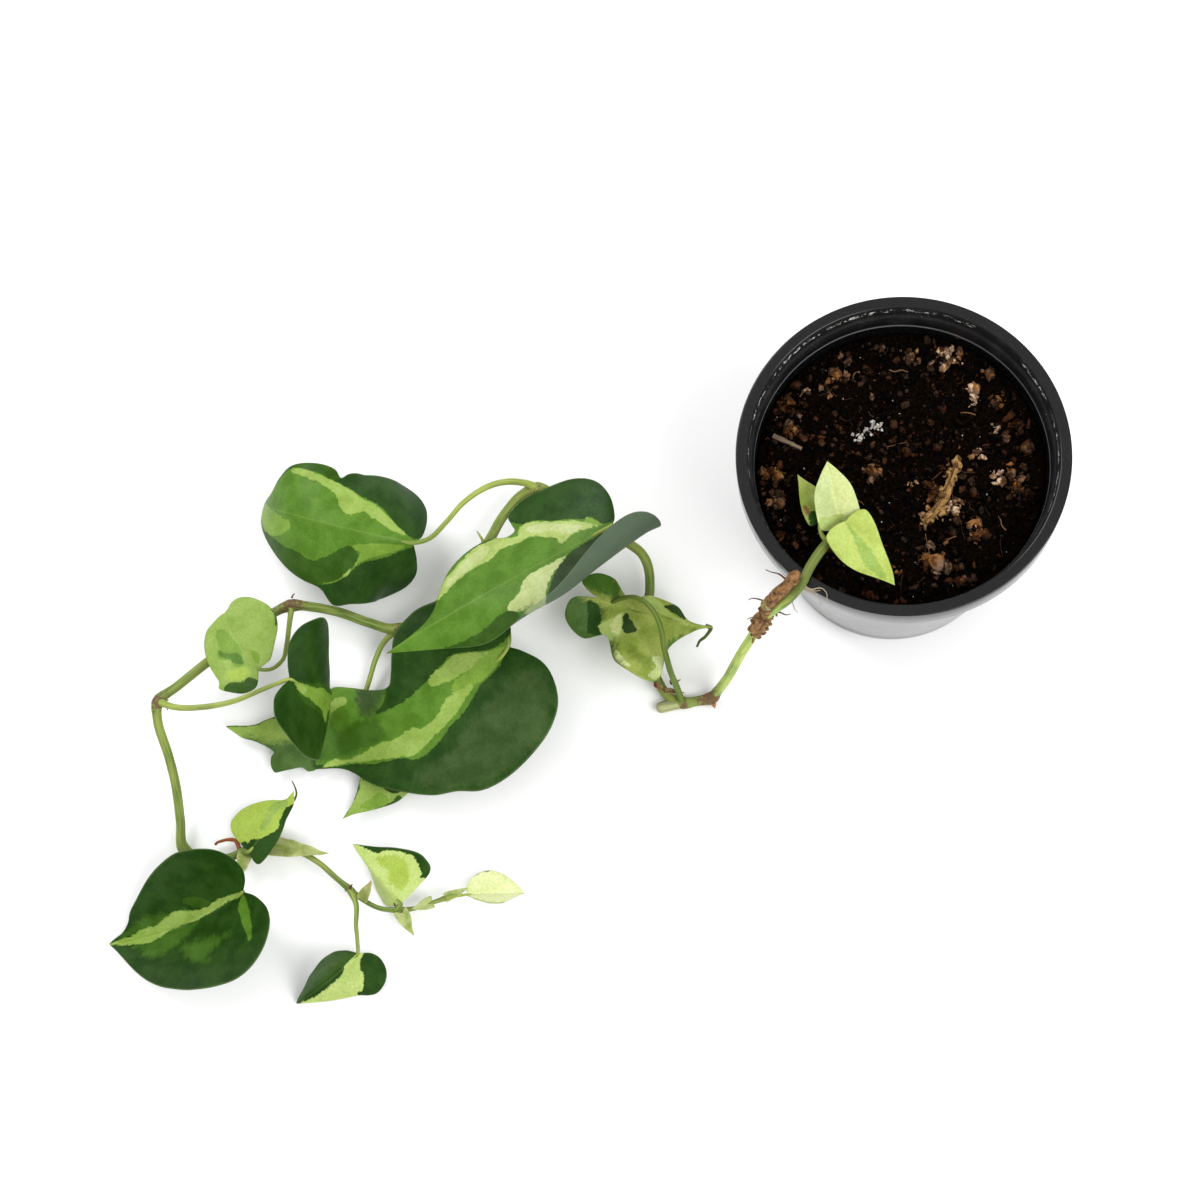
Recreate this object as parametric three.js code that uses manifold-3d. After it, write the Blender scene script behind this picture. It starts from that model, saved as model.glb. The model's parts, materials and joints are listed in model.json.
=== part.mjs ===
// A potted cream splash philodendron: one trailing vine rooted in a round nursery pot.
// The vine leaves the soil, crosses the rim, drops to the surface the pot stands on and lies
// along it. Units are millimetres, +Z is up, and the origin is the centre of the pot's base.
// The pot stands on the plane z = 0.

import * as THREE from 'three';
import { mergeVertices } from 'three/addons/utils/BufferGeometryUtils.js';
import Module from 'manifold-3d';

const wasm = await Module();
wasm.setup();

// Driving dimensions of the pot and its soil
const POT_HEIGHT = 95;
const RIM_RADIUS = 52.5;
const RIM_BAND = 10;
const RIM_LIP = 3.5;
const WALL_TOP_RADIUS = 48.8;
const BASE_RADIUS = 38.5;
const WALL = 1.3;
const DRAIN_HOLES = 8;
const DRAIN_RADIUS = 3;
const DRAIN_CIRCLE = 31;
const POT_FLOOR = 1.5;
const POT_SIDES = 40;
const SOIL_DEPTH_BELOW_RIM = 15.5;
const SOIL_MOUND = 3.5;
const SOIL_CRUMB = 2.6;
const SOIL_RINGS = 8;
const SOIL_SECTORS = 30;
const SOIL_SEED = 5;

// Driving dimensions of the plant
const STEM_RADIUS = [[0, 1.9], [0.2, 1.65], [0.55, 1.75], [0.84, 1.6], [0.9, 1.05], [1, 0.7]];
const NODE_SWELLING = 0.32;
const NODE_LENGTH = 3;
const STEM_STEP = 7.5;
const STEM_SIDES = 8;
const STALK_SIDES = 6;
const BLADE_THICKNESS = 0.7;
const CLEARANCE = 0.3;
const LEFT = 1;
const RIGHT = -1;

const COLOURS = {
  pot: 0x141516,
  soil: 0x1c120c,
  stem: 0x8fa850,
  bark: 0x6b4024,
  twig: 0x6f5a45,
  dark: 0x1d4420,
  mid: 0x4a7c2a,
  lime: 0x9cbf4f,
  pale: 0xcfe08f,
};

// The vine's centre line from the soil to its growing end, one point for each bend.
const VINE_ROUTE = [
  [-18, -13, 55], [-19.5, -21.5, 80], [-21.5, -25, 88], [-24, -28, 93], [-26.5, -31.5, 96.5],
  [-30, -37, 97.5], [-32.5, -42, 97.5], [-36, -45.5, 94.5], [-40, -47, 88], [-44.5, -48, 79],
  [-48, -50.5, 66], [-52.5, -52.5, 46], [-58, -55.5, 20], [-61.5, -57, 7.5], [-64, -59, 3.5],
  [-69, -60, 3], [-74.5, -60.5, 3], [-79.5, -58, 4], [-84, -50, 5], [-87, -38.5, 7],
  [-86.5, -29, 10], [-85, -22, 12], [-85.5, -13.5, 14], [-88, -9, 16], [-93.5, -5, 17],
  [-100.5, 0, 19], [-109, 6, 21], [-117.5, 11, 22], [-124, 13.5, 22], [-129.5, 11.5, 21],
  [-134, 7, 20], [-137.5, 2.5, 19], [-140.5, -3, 18.5], [-143.5, -8, 18], [-149, -15, 15.5],
  [-156.5, -22.5, 13], [-165, -29.5, 11.5], [-174.5, -34, 11], [-185, -31.5, 12], [-195, -28, 13.5],
  [-205, -26, 14.5], [-212, -25.5, 15], [-219, -28, 14], [-231, -36.5, 12.5],
  [-243, -46, 13.5], [-252, -54, 15], [-258.5, -59.5, 15.5], [-258.5, -66.5, 15],
  [-254.5, -78.5, 13.5], [-252, -88.5, 11.5], [-251, -100.5, 7], [-250, -110, 5],
  [-242.5, -113.5, 4.5], [-234, -113.5, 5], [-227.5, -111.5, 6], [-218.5, -110, 7],
  [-209.5, -111.5, 7.5], [-201, -116, 8], [-194.5, -121.5, 8.5], [-189.5, -125.5, 9],
  [-185, -129, 9], [-179, -132, 8.5], [-173, -132.5, 8], [-167, -132, 7.5],
  [-161, -130, 7], [-156.5, -128.5, 6.5],
];

// The joints of the vine, where it is swollen and where leaves and roots start.
const VINE_NODES = [
  [-44.5, -48, 79], [-64, -59, 3.5], [-74.5, -60.5, 3], [-100.5, 0, 19], [-124, 13.5, 22],
  [-143.5, -8, 18], [-174.5, -34, 11], [-212, -25.5, 15], [-258.5, -59.5, 15.5],
  [-250, -110, 5], [-227.5, -111.5, 6], [-189.5, -125.5, 9], [-173, -132.5, 8], [-156.5, -128.5, 6.5],
];

// Thin pieces that grow out of the vine, each with its first and last radius.
const VINE_TWIGS = [
  { name: 'cut stub', route: [[-74.5, -60.5, 3], [-79, -61.5, 3], [-83.5, -62.5, 3]], radii: [2, 1.7] },
  {
    name: 'long aerial root', radii: [0.7, 0.5],
    route: [[-32.5, -42, 97.5], [-29.5, -44, 97], [-27, -43.5, 97], [-25, -45, 96.5], [-24.5, -48, 96.5]],
  },
  {
    name: 'short aerial root', radii: [0.7, 0.5],
    route: [[-32.5, -42, 97.5], [-30, -45, 97], [-27.5, -46, 97], [-26.5, -48.5, 96.5]],
  },
  {
    name: 'hanging root', radii: [0.7, 0.5],
    route: [[-35, -44.5, 96], [-35.5, -47.5, 92], [-34, -48.5, 87]],
  },
  { name: 'thorn', route: [[-143.5, -8, 18], [-143.5, -4.5, 19], [-145.5, -1, 19.5]], radii: [0.9, 0.4] },
  {
    name: 'red root', radii: [0.9, 0.6],
    route: [[-229.5, -112.5, 5.5], [-231.5, -107.5, 5], [-235, -107, 4], [-239.5, -108.5, 2.5]],
  },
];

// Papery sheaths at the joints, each a small pointed blade rooted in the vine.
const SHEATHS = [
  { base: [-185, -129, 9], length: 8, width: 5, heading: 62, pitch: 25 },
  { base: [-172, -132.5, 8], length: 10, width: 6, heading: 298, pitch: -8 },
  { base: [-161, -130, 7], length: 8, width: 5, heading: 200, pitch: 24 },
  { base: [-156.5, -128.5, 6.5], length: 9, width: 4, heading: 22, pitch: 12 },
  { base: [-218.5, -110, 7], length: 22, width: 8, heading: 352, pitch: 9 },
  { base: [-227, -112, 6], length: 8, width: 7, heading: 265, pitch: 14 },
  { base: [-64, -59, 3.5], length: 4, width: 4, heading: 285, pitch: 5 },
];

// The brown stub of old wood beside the stem, and the clump of short roots below it.
const OLD_WOOD_ROUTE = [
  [-33.5, -39, 101.5], [-35.5, -41.5, 100.5], [-38, -43.5, 98], [-41, -45, 94], [-43, -46.5, 87],
  [-44, -47.5, 82],
];
const OLD_WOOD_RADIUS = 2.1;
const CLUMP_ROUTE = [[-43, -47, 84], [-44.5, -48, 79], [-46.5, -49.5, 71.5], [-48, -50.5, 65]];
const CLUMP_RADIUS = 3.5;
const CLUMP_ROOTS = 12;
const CLUMP_ROOT_REACH = 5.2;

// White perlite lumps that show on the soil: [place, size].
const PERLITE = [
  [[-10.5, 11.5, 83], 2.4], [[-7, 13, 83], 1.7], [[-13, 9.5, 83], 1.6], [[24, 22, 82], 1.5],
  [[30.5, -3, 81.5], 1.7], [[-22, 25.5, 81.5], 1.4], [[3, -6.5, 83.5], 1.4], [[31, 12, 81], 1.6],
];

// Loose pieces half sunk in the soil.
const TWIG_ROUTE = [[-40.5, 11.5, 81], [-36, 9, 81.5], [-31.5, 6.5, 82]];
const BARK_ROUTE = [[7, -19.5, 83.5], [12.5, -13, 84], [15.5, -6, 84], [18, 0.5, 84]];
const BARK_RADIUS = 1.6;
const TWIG_RADIUS = 0.9;

// Half of a heart-shaped blade from the stalk round the lobe to the tip, as shares of the
// blade's length and width. A leaf's fullness above 0.5 widens it towards the tip by the second
// list, and its belly moves its widest place towards the tip by the third.
const HEART = [
  [0, 0], [-0.095, 0.085], [-0.185, 0.225], [-0.15, 0.385], [0.03, 0.49],
  [0.3, 0.465], [0.58, 0.315], [0.82, 0.125], [1, 0],
];
const FULLNESS_SHARES = [0, 0, 0, 0, -0.02, 0.05, 0.26, 0.22, 0];
const BELLY_SHARES = [0, 0, 0.5, 0.9, 1, 0.8, 0.3, 0, 0];
const MIDRIB_POWER = 2.2;

// A rise or curl given as three numbers holds at the lobes, the middle and near the tip.
const LOBE_STATION = -0.15;
const MIDDLE_STATION = 0.35;
const TIP_STATION = 0.85;

// Each leaf is one blade with its stalk. Angles are in degrees: heading is the way that the
// blade points from its stalk, seen from above, counted from +X; sweep and droop bend it to the
// left and down along its length; rise and curl lift and bend its [left, right] halves. A nick
// is [side, place along the margin, width, depth], with a bulge where the depth is negative.
const LEAVES = [
  {
    name: 'leaf_01_crown_cream', colour: 'pale', base: [-19.5, -23, 97], length: 20.3,
    width: 13.8, fullness: 0.9, skew: 0.08, heading: 104, pitch: 30, droop: 8, roll: -4,
    rise: [12, 12], curl: [-12, -12], lobe: 0.25, fromBelow: true, stalkRadius: 0.7,
    stalk: [[-20.5, -23, 85], [-22.5, -20.5, 89], [-22, -20, 93]],
  },
  {
    name: 'leaf_02_crown_lime', colour: 'lime', base: [-18.5, -23.5, 102], length: 25.5, width: 16,
    fullness: 0.68, heading: 304, pitch: 9, droop: 14, rise: [-6, -8], curl: [-14, -14], lobe: 0.2,
    nicks: [[LEFT, 0.75, 0.15, 0.3], [RIGHT, 0.7, 0.2, -0.2]],
    stalk: [[-21.5, -25, 88], [-18, -27, 92], [-17, -28, 96], [-17.5, -27, 99.5]],
    fromBelow: true, stalkRadius: 0.7,
  },
  {
    name: 'leaf_03_crown_dull', colour: 'mid', base: [-25.5, -20, 93], length: 16, width: 10,
    heading: 119, pitch: 14, droop: 10, rise: [8, 8], curl: [-10, -10], lobe: 0.2,
    stalk: [[-24, -28, 93], [-26, -25.5, 94], [-26.5, -22, 93.5]], stalkRadius: 0.6,
  },
  {
    name: 'leaf_04_crumpled', colour: 'mid', base: [-97.5, -28.5, 21], length: 36, width: 36,
    heading: -20, sweep: 12, pitch: -4, roll: 178, rise: [[8, -10, 0], [-10, -66, -60]],
    curl: [[10, -10, 10], [-10, -10, -10]], stalkRadius: 1,
    stalk: [
      [-74.5, -60.5, 3], [-75.5, -57.5, 10], [-77.5, -53, 22], [-79, -47, 31], [-80, -40.5, 35],
      [-83, -34, 35], [-88, -29.5, 32], [-93, -28, 26.5],
    ],
  },
  {
    name: 'leaf_05_folded', colour: 'mid', base: [-96.5, -5, 36], length: 90, width: 52,
    fullness: 0.62, heading: 207, sweep: 1, pitch: 3, droop: 18, roll: -8, lobe: [0.85, 0.3],
    rise: [[30, 27, -4], [-8, -36, -36]], curl: [[300, 262, 0], [-15, 0, 5]],
    flat: [[0.25, 0.5, 0.2], 0], fine: true, stalkRadius: 1.1,
    stalk: [[-100.5, 0, 19], [-99.5, -1.5, 26], [-97.5, -4, 33]],
  },
  {
    name: 'leaf_06_arched', colour: 'mid', base: [-167, -6.5, 26], length: 78, width: 57,
    heading: 176, sweep: -33, pitch: 37, droop: 111, roll: -14,
    rise: [[-40, -9, -9], [-28, -33, 11]], curl: [[-16, -10, -20], [-31, -23, -10]], fine: true,
    stalkRadius: 1.05,
    stalk: [
      [-124, 13.5, 22], [-127.5, 14.5, 25], [-134.5, 14, 29], [-141, 11.5, 31], [-148.5, 6, 32],
      [-154.5, -0.5, 31], [-160.5, -5.5, 28.5],
    ],
  },
  {
    name: 'leaf_07_largest', colour: 'dark', base: [-134, -43, 20], length: 83.5, width: 68,
    heading: 233, sweep: -46.5, pitch: -9, droop: 2, rise: [6, 6], curl: [-14, -14], fine: true,
    stalkRadius: 1.05,
    stalk: [[-143.5, -8, 18], [-140, -17, 19], [-136, -28, 20], [-134, -36.5, 20]],
  },
  {
    name: 'leaf_08_tucked', colour: 'lime', base: [-203, -76, 3], length: 35, width: 26,
    heading: 157, sweep: 15, pitch: 6, droop: 4, roll: 4, rise: [5, 4], curl: [-12, -12],
    stalkRadius: 0.9,
    stalk: [
      [-174.5, -34, 11], [-179.5, -38, 9.5], [-183, -44, 7], [-186, -52.5, 4.5],
      [-189.5, -61.5, 3.5], [-195, -69.5, 3], [-199.5, -74, 3],
    ],
  },
  {
    name: 'leaf_09_hidden_lime', colour: 'lime', base: [-179, -81.5, 4.5], length: 24, width: 19,
    fullness: 0.34, skew: 0.3, heading: 237, sweep: -11, pitch: 2, droop: 6, rise: [4, 4], curl: [-12, -12],
    stalkRadius: 0.8,
    stalk: [
      [-156.5, -22.5, 13], [-162.5, -37.5, 8], [-166, -51, 5], [-169, -65.5, 4], [-173.5, -74.5, 4],
    ],
  },
  {
    name: 'leaf_10_round_lime', colour: 'lime', base: [-219.5, -51.5, 30], length: 27.5, width: 32,
    heading: 136, sweep: -27, pitch: -8, droop: 14.5, roll: -10, rise: [14, 20],
    curl: [-12, -14], stalkRadius: 0.85,
    stalk: [
      [-212, -25.5, 15], [-211.5, -34, 20], [-211, -42, 25], [-211.5, -48, 28],
      [-215, -51.5, 29.5],
    ],
  },
  {
    name: 'leaf_11_hanging_dark', colour: 'dark', base: [-203, -60, 52], length: 46.5, width: 48,
    fullness: 0.9, heading: -18, sweep: 8, pitch: -54, droop: 64, roll: -7, lobe: 0.84,
    rise: [[14, 1, -2], [16, 4, -2]], curl: [[12, -3, -18], [20, 3, -10]], fine: true,
    stalkRadius: 1,
    stalk: [
      [-258.5, -59.5, 15.5], [-251, -62.5, 20], [-237.5, -64.5, 30], [-224.5, -64.5, 40],
      [-213.5, -62.5, 48], [-207, -61, 51.5],
    ],
  },
  {
    name: 'leaf_12_broad_dark', colour: 'dark', base: [-227, -126, 9.5], length: 53.5, width: 64,
    heading: 212, sweep: -26, pitch: -20, droop: -21, rise: [32, 38], curl: [12, 16],
    fine: true, stalkRadius: 1,
    stalk: [[-250, -110, 5], [-244, -117, 4.5], [-236, -123, 6]],
  },
  {
    name: 'leaf_13_small_curled', colour: 'lime', base: [-225, -112, 10], length: 26.5,
    width: 22.5, heading: 48, sweep: 3, pitch: 18, droop: 9, roll: -19, curl: [-8, -8],
    hookTurn: 14, stalkRadius: 0.8,
    stalk: [[-227.5, -111.5, 6], [-226.5, -112, 8.5]],
  },
  {
    name: 'leaf_14_small_folded', colour: 'dark', base: [-186.5, -147.5, 8], length: 28.5,
    width: 29.5, heading: 222, sweep: -12, pitch: -18, droop: -8, roll: -37, rise: [16, 40],
    stalkRadius: 0.85,
    stalk: [[-189.5, -125.5, 9], [-187, -131, 10], [-187, -137.5, 9.5], [-186.5, -143.5, 8.5]],
  },
  {
    name: 'leaf_15_small_lime', colour: 'lime', base: [-171.5, -130.5, 10.5], length: 26.5,
    width: 29.5, heading: 136, sweep: -13, pitch: 11, droop: 14, roll: -39,
    rise: [[-4, -28, -50], -13], stalkRadius: 0.75, stalk: [[-173, -132.5, 8]],
  },
  {
    name: 'leaf_16_end_pale', colour: 'pale', base: [-148.5, -127.5, 8], length: 19.5, width: 16,
    heading: -2, sweep: 6, pitch: 2, droop: 8, roll: -34, rise: [5, 27], stalkRadius: 0.55,
    stalk: [[-156.5, -128.5, 6.5], [-153, -128, 7.5]],
  },
];

// Margins of the leaves that aren't plain hearts: [left half, right half], each from the stalk
// round the lobe to the tip, as shares of the blade's length and of half its width.
const MARGINS = {
  leaf_04_crumpled: [
    [
      [0, 0], [-0.2, 0.02], [-0.38, 0.2], [-0.36, 0.6], [-0.15, 0.83], [0.05, 0.64], [0.2, 1.12],
      [0.42, 1.36], [0.6, 1.22], [0.63, 0.55], [0.83, 0.13], [1, 0],
    ],
    [
      [0, 0], [-0.2, 0.02], [-0.36, 0.2], [-0.25, 0.44], [-0.06, 0.46], [0.11, 0.25], [0.25, 0.42],
      [0.38, 0.62], [0.62, 0.44], [0.76, 0.08], [1, 0],
    ],
  ],
  leaf_05_folded: [
    null,
    [
      [0, 0], [-0.03, 0.12], [-0.05, 0.4], [-0.03, 0.7], [0.04, 0.93], [0.15, 1.07], [0.27, 1.17],
      [0.335, 1.08], [0.34, 0.9], [0.34, 0.75], [0.38, 0.73], [0.45, 0.86], [0.55, 0.83], [0.65, 0.67],
      [0.72, 0.42], [0.76, 0.22], [0.81, 0.09], [0.89, 0.04], [1, 0],
    ],
  ],
  leaf_06_arched: [
    [
      [0, 0], [-0.06, 0.25], [-0.095, 0.5], [-0.08, 0.8], [-0.01, 1.01], [0.1, 0.98], [0.22, 0.97],
      [0.31, 1], [0.39, 0.83], [0.5, 0.78], [0.62, 0.67], [0.75, 0.5], [0.87, 0.28], [1, 0],
    ],
    [
      [0, 0], [-0.05, 0.12], [-0.09, 0.38], [-0.1, 0.62], [-0.07, 0.86], [0, 0.98], [0.14, 1],
      [0.3, 0.98], [0.4, 0.93], [0.45, 0.82], [0.475, 0.7], [0.53, 0.76], [0.62, 0.7], [0.72, 0.57],
      [0.775, 0.38], [0.83, 0.16], [1, 0],
    ],
  ],
  leaf_07_largest: [
    [
      [0, 0], [-0.02, 0.15], [-0.03, 0.38], [-0.005, 0.58], [0.05, 0.77], [0.13, 0.88], [0.23, 0.93],
      [0.34, 0.94], [0.43, 0.89], [0.5, 0.76], [0.58, 0.67], [0.68, 0.49], [0.77, 0.32], [0.84, 0.13],
      [0.9, 0.04], [1, 0],
    ],
    [
      [0, 0], [-0.08, 0.1], [-0.13, 0.35], [-0.1, 0.6], [-0.02, 0.82], [0.1, 0.98], [0.2, 1.03],
      [0.35, 1], [0.44, 0.85], [0.5, 0.68], [0.55, 0.56], [0.64, 0.62], [0.74, 0.73], [0.85, 0.8],
      [0.93, 0.7], [0.99, 0.38], [1, 0],
    ],
  ],
  leaf_08_tucked: [
    [
      [0, 0], [-0.06, 0.2], [-0.05, 0.48], [0.02, 0.62], [0.1, 0.59], [0.2, 0.74], [0.3, 0.89],
      [0.36, 0.96], [0.42, 0.82], [0.45, 0.6], [0.44, 0.44], [0.55, 0.34], [0.68, 0.28], [0.8, 0.26],
      [0.9, 0.15], [0.97, 0.06], [1, 0],
    ],
    [
      [0, 0], [-0.06, 0.17], [-0.12, 0.45], [-0.1, 0.77], [0, 0.95], [0.15, 0.97], [0.32, 0.88],
      [0.46, 0.68], [0.56, 0.48], [0.64, 0.32], [0.7, 0.19], [0.8, 0.09], [0.92, 0.04], [1, 0],
    ],
  ],
  leaf_10_round_lime: [
    [
      [0, 0], [-0.07, 0.11], [-0.145, 0.32], [-0.09, 0.58], [0.045, 0.78], [0.155, 0.9], [0.22, 0.81],
      [0.39, 0.79], [0.555, 0.75], [0.71, 0.66], [0.83, 0.52], [0.9, 0.35], [0.965, 0.17], [1, 0],
    ],
    [
      [0, 0], [-0.045, 0.18], [-0.08, 0.38], [-0.03, 0.6], [0.04, 0.8], [0.12, 0.97], [0.23, 1.09],
      [0.36, 1.14], [0.5, 1.12], [0.64, 1.05], [0.78, 0.93], [0.91, 0.78], [1.02, 0.58], [1.08, 0.36],
      [1.08, 0.2], [1.03, 0.1], [1, 0],
    ],
  ],
  leaf_11_hanging_dark: [
    [
      [0, 0], [-0.08, 0.17], [-0.155, 0.45], [-0.13, 0.75], [0, 0.95], [0.15, 0.99], [0.27, 0.96],
      [0.35, 0.8], [0.43, 0.58], [0.51, 0.38], [0.59, 0.22], [0.71, 0.19], [0.84, 0.18], [0.94, 0.1],
      [1, 0],
    ],
    null,
  ],
  leaf_12_broad_dark: [
    [
      [0, 0], [-0.08, 0.15], [-0.14, 0.35], [-0.16, 0.5], [-0.15, 0.7], [-0.1, 0.95], [-0.02, 1.11],
      [0.1, 1.17], [0.25, 1.12], [0.4, 1.01], [0.51, 0.9], [0.62, 0.78], [0.72, 0.62], [0.81, 0.43],
      [0.89, 0.24], [0.95, 0.1], [1, 0],
    ],
    [
      [0, 0], [-0.08, 0.1], [-0.14, 0.25], [-0.155, 0.45], [-0.12, 0.65], [-0.03, 0.8], [0.1, 0.87],
      [0.25, 0.86], [0.4, 0.8], [0.55, 0.68], [0.69, 0.51], [0.78, 0.37], [0.83, 0.23], [0.89, 0.12],
      [0.95, 0.06], [1, 0],
    ],
  ],
  leaf_13_small_curled: [
    [
      [0, 0], [-0.03, 0.3], [-0.05, 0.8], [-0.03, 1.15], [0.03, 1.35], [0.12, 1.37], [0.25, 1.32],
      [0.38, 1.17], [0.5, 0.97], [0.62, 0.74], [0.72, 0.48], [0.79, 0.25], [0.86, 0.1], [0.93, 0.05],
      [1, 0],
    ],
    [
      [0, 0], [-0.03, 0.15], [-0.045, 0.35], [-0.02, 0.55], [0.08, 0.61], [0.25, 0.61], [0.4, 0.56],
      [0.55, 0.46], [0.66, 0.35], [0.76, 0.3], [0.84, 0.27], [0.9, 0.19], [0.95, 0.07], [1, 0],
    ],
  ],
  leaf_09_hidden_lime: [
    null,
    [
      [0, 0], [-0.1, 0.12], [-0.17, 0.35], [-0.12, 0.6], [0.05, 0.7], [0.25, 0.6], [0.45, 0.4],
      [0.6, 0.23], [0.75, 0.11], [0.88, 0.05], [1, 0],
    ],
  ],
  leaf_14_small_folded: [
    [
      [0, 0], [-0.06, 0.08], [-0.12, 0.22], [-0.145, 0.42], [-0.12, 0.62], [-0.06, 0.8], [0.03, 0.93],
      [0.13, 0.985], [0.21, 0.97], [0.28, 0.87], [0.34, 0.75], [0.45, 0.62], [0.6, 0.46], [0.75, 0.29],
      [0.88, 0.14], [1, 0],
    ],
    [
      [0, 0], [-0.02, 0.12], [-0.035, 0.35], [-0.05, 0.6], [-0.035, 0.85], [0, 1.03], [0.08, 1.12],
      [0.2, 1.1], [0.35, 1.01], [0.5, 0.86], [0.65, 0.64], [0.8, 0.4], [0.92, 0.18], [1, 0],
    ],
  ],
  leaf_15_small_lime: [
    [
      [0, 0], [0.01, 0.1], [0.04, 0.22], [0.08, 0.42], [0.16, 0.6], [0.27, 0.66], [0.38, 0.58],
      [0.49, 0.4], [0.62, 0.22], [0.78, 0.1], [0.91, 0.04], [1, 0],
    ],
    [
      [0, 0], [-0.01, 0.14], [-0.015, 0.34], [-0.015, 0.55], [-0.015, 0.76], [-0.015, 0.95],
      [0.005, 1.12], [0.06, 1.24], [0.15, 1.28], [0.26, 1.27], [0.37, 1.18], [0.5, 1], [0.62, 0.79],
      [0.74, 0.53], [0.86, 0.29], [0.94, 0.13], [1, 0],
    ],
  ],
  leaf_16_end_pale: [
    [
      [0, 0], [-0.05, 0.25], [-0.05, 0.5], [0, 0.8], [0.1, 1.04], [0.22, 1.22], [0.38, 1.27],
      [0.52, 1.18], [0.68, 0.95], [0.82, 0.64], [0.93, 0.3], [1, 0],
    ],
    [
      [0, 0], [0.01, 0.09], [0.07, 0.27], [0.17, 0.48], [0.29, 0.7], [0.41, 0.88], [0.53, 0.96],
      [0.64, 0.87], [0.73, 0.64], [0.82, 0.38], [0.91, 0.17], [1, 0],
    ],
  ],
};
for (const leaf of LEAVES) leaf.drawn = MARGINS[leaf.name];

const radians = THREE.MathUtils.degToRad;
const vector = ([x, y, z]) => new THREE.Vector3(x, y, z);

function material(colour, roughness) {
  return new THREE.MeshStandardMaterial({ color: COLOURS[colour], roughness, metalness: 0 });
}

function named(name, geometry, colour, roughness) {
  const mesh = new THREE.Mesh(geometry, material(colour, roughness));
  mesh.name = name;
  return mesh;
}

// Value at a share of a line, from pairs of [share, value] in order.
function between(pairs, share) {
  const next = Math.max(1, pairs.findIndex(([at]) => at >= share));
  const [[from, a], [to, b]] = [pairs[next - 1], pairs[next]];
  return THREE.MathUtils.mapLinear(share, from, to, a, b);
}

// Closed solids are joined and cut through these three.
function solidOf(geometry) {
  const bare = geometry.clone();
  bare.deleteAttribute('normal');
  bare.deleteAttribute('uv');
  const merged = mergeVertices(bare, 1e-4);
  return new wasm.Manifold(new wasm.Mesh({
    numProp: 3,
    vertProperties: new Float32Array(merged.attributes.position.array),
    triVerts: new Uint32Array(merged.index.array),
  }));
}

function geometryOf(solid) {
  const mesh = solid.getMesh();
  const geometry = new THREE.BufferGeometry();
  geometry.setAttribute('position', new THREE.BufferAttribute(mesh.vertProperties, 3));
  geometry.setIndex(new THREE.BufferAttribute(mesh.triVerts, 1));
  geometry.computeVertexNormals();
  return geometry;
}

function largestBody(solid) {
  return solid.decompose().reduce((most, body) => (body.volume() > most.volume() ? body : most));
}

function geometryFrom(positions, faces) {
  const geometry = new THREE.BufferGeometry();
  geometry.setAttribute('position', new THREE.Float32BufferAttribute(positions, 3));
  geometry.setIndex(faces);
  return geometry;
}

// A round bar along points, with its own radius at each point and flat ends.
function bar(points, radii, sides) {
  const positions = [];
  const faces = [];
  const tangents = points.map((point, i) => {
    const before = points[Math.max(i - 1, 0)];
    const after = points[Math.min(i + 1, points.length - 1)];
    return new THREE.Vector3().subVectors(after, before).normalize();
  });
  const across = new THREE.Vector3(0.3, 0.2, 1).cross(tangents[0]).normalize();
  points.forEach((point, i) => {
    across.addScaledVector(tangents[i], -across.dot(tangents[i])).normalize();
    const up = new THREE.Vector3().crossVectors(tangents[i], across);
    for (let k = 0; k < sides; k += 1) {
      const angle = (2 * Math.PI * k) / sides;
      const corner = point.clone();
      corner.addScaledVector(across, radii[i] * Math.cos(angle));
      corner.addScaledVector(up, radii[i] * Math.sin(angle));
      positions.push(corner.x, corner.y, corner.z);
    }
  });
  for (let i = 0; i + 1 < points.length; i += 1) {
    for (let k = 0; k < sides; k += 1) {
      const a = i * sides + k;
      const b = i * sides + ((k + 1) % sides);
      faces.push(a, b, b + sides, a, b + sides, a + sides);
    }
  }
  const last = (points.length - 1) * sides;
  for (let k = 1; k + 1 < sides; k += 1) {
    faces.push(0, k + 1, k, last, last + k, last + k + 1);
  }
  return geometryFrom(positions, faces);
}

function smoothCurve(route) {
  return new THREE.CatmullRomCurve3(route.map(vector), false, 'centripetal');
}

// Moves both ends of a line outward, so that the room round a bar covers its ends too.
function lengthen(points, growth) {
  const last = points.length - 1;
  for (const [end, inner] of [[0, 1], [last, last - 1]]) {
    const outward = new THREE.Vector3().subVectors(points[end], points[inner]).normalize();
    points[end].addScaledVector(outward, growth);
  }
  return points;
}

function taperedBar(route, count, firstRadius, lastRadius, sides, growth = 0) {
  const points = lengthen(smoothCurve(route).getSpacedPoints(count), growth);
  const radii = points.map((_, i) => growth + THREE.MathUtils.lerp(firstRadius, lastRadius, i / count));
  return solidOf(bar(points, radii, sides));
}

// Catmull-Rom value of a list of pairs at t, counted in list steps.
function splinePair(pairs, t) {
  const i = Math.min(Math.floor(t), pairs.length - 2);
  const f = t - i;
  return [0, 1].map((axis) => {
    const b = pairs[i][axis];
    const c = pairs[i + 1][axis];
    const a = i > 0 ? pairs[i - 1][axis] : 2 * b - c;
    const d = i + 2 < pairs.length ? pairs[i + 2][axis] : 2 * c - b;
    const [bend, twist] = [2 * a - 5 * b + 4 * c - d, 3 * b - a - 3 * c + d];
    return b + 0.5 * ((c - a) * f + bend * f ** 2 + twist * f ** 3);
  });
}

function atStation(value, u) {
  if (!Array.isArray(value)) return value ?? 0;
  const toMiddle = THREE.MathUtils.smoothstep(u, LOBE_STATION, MIDDLE_STATION);
  const toTip = THREE.MathUtils.smoothstep(u, MIDDLE_STATION, TIP_STATION);
  return value[0] + (value[1] - value[0]) * toMiddle + (value[2] - value[1]) * toTip;
}

const ofSide = (pair, side) => (Array.isArray(pair) ? pair[side === LEFT ? 0 : 1] : pair);

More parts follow.
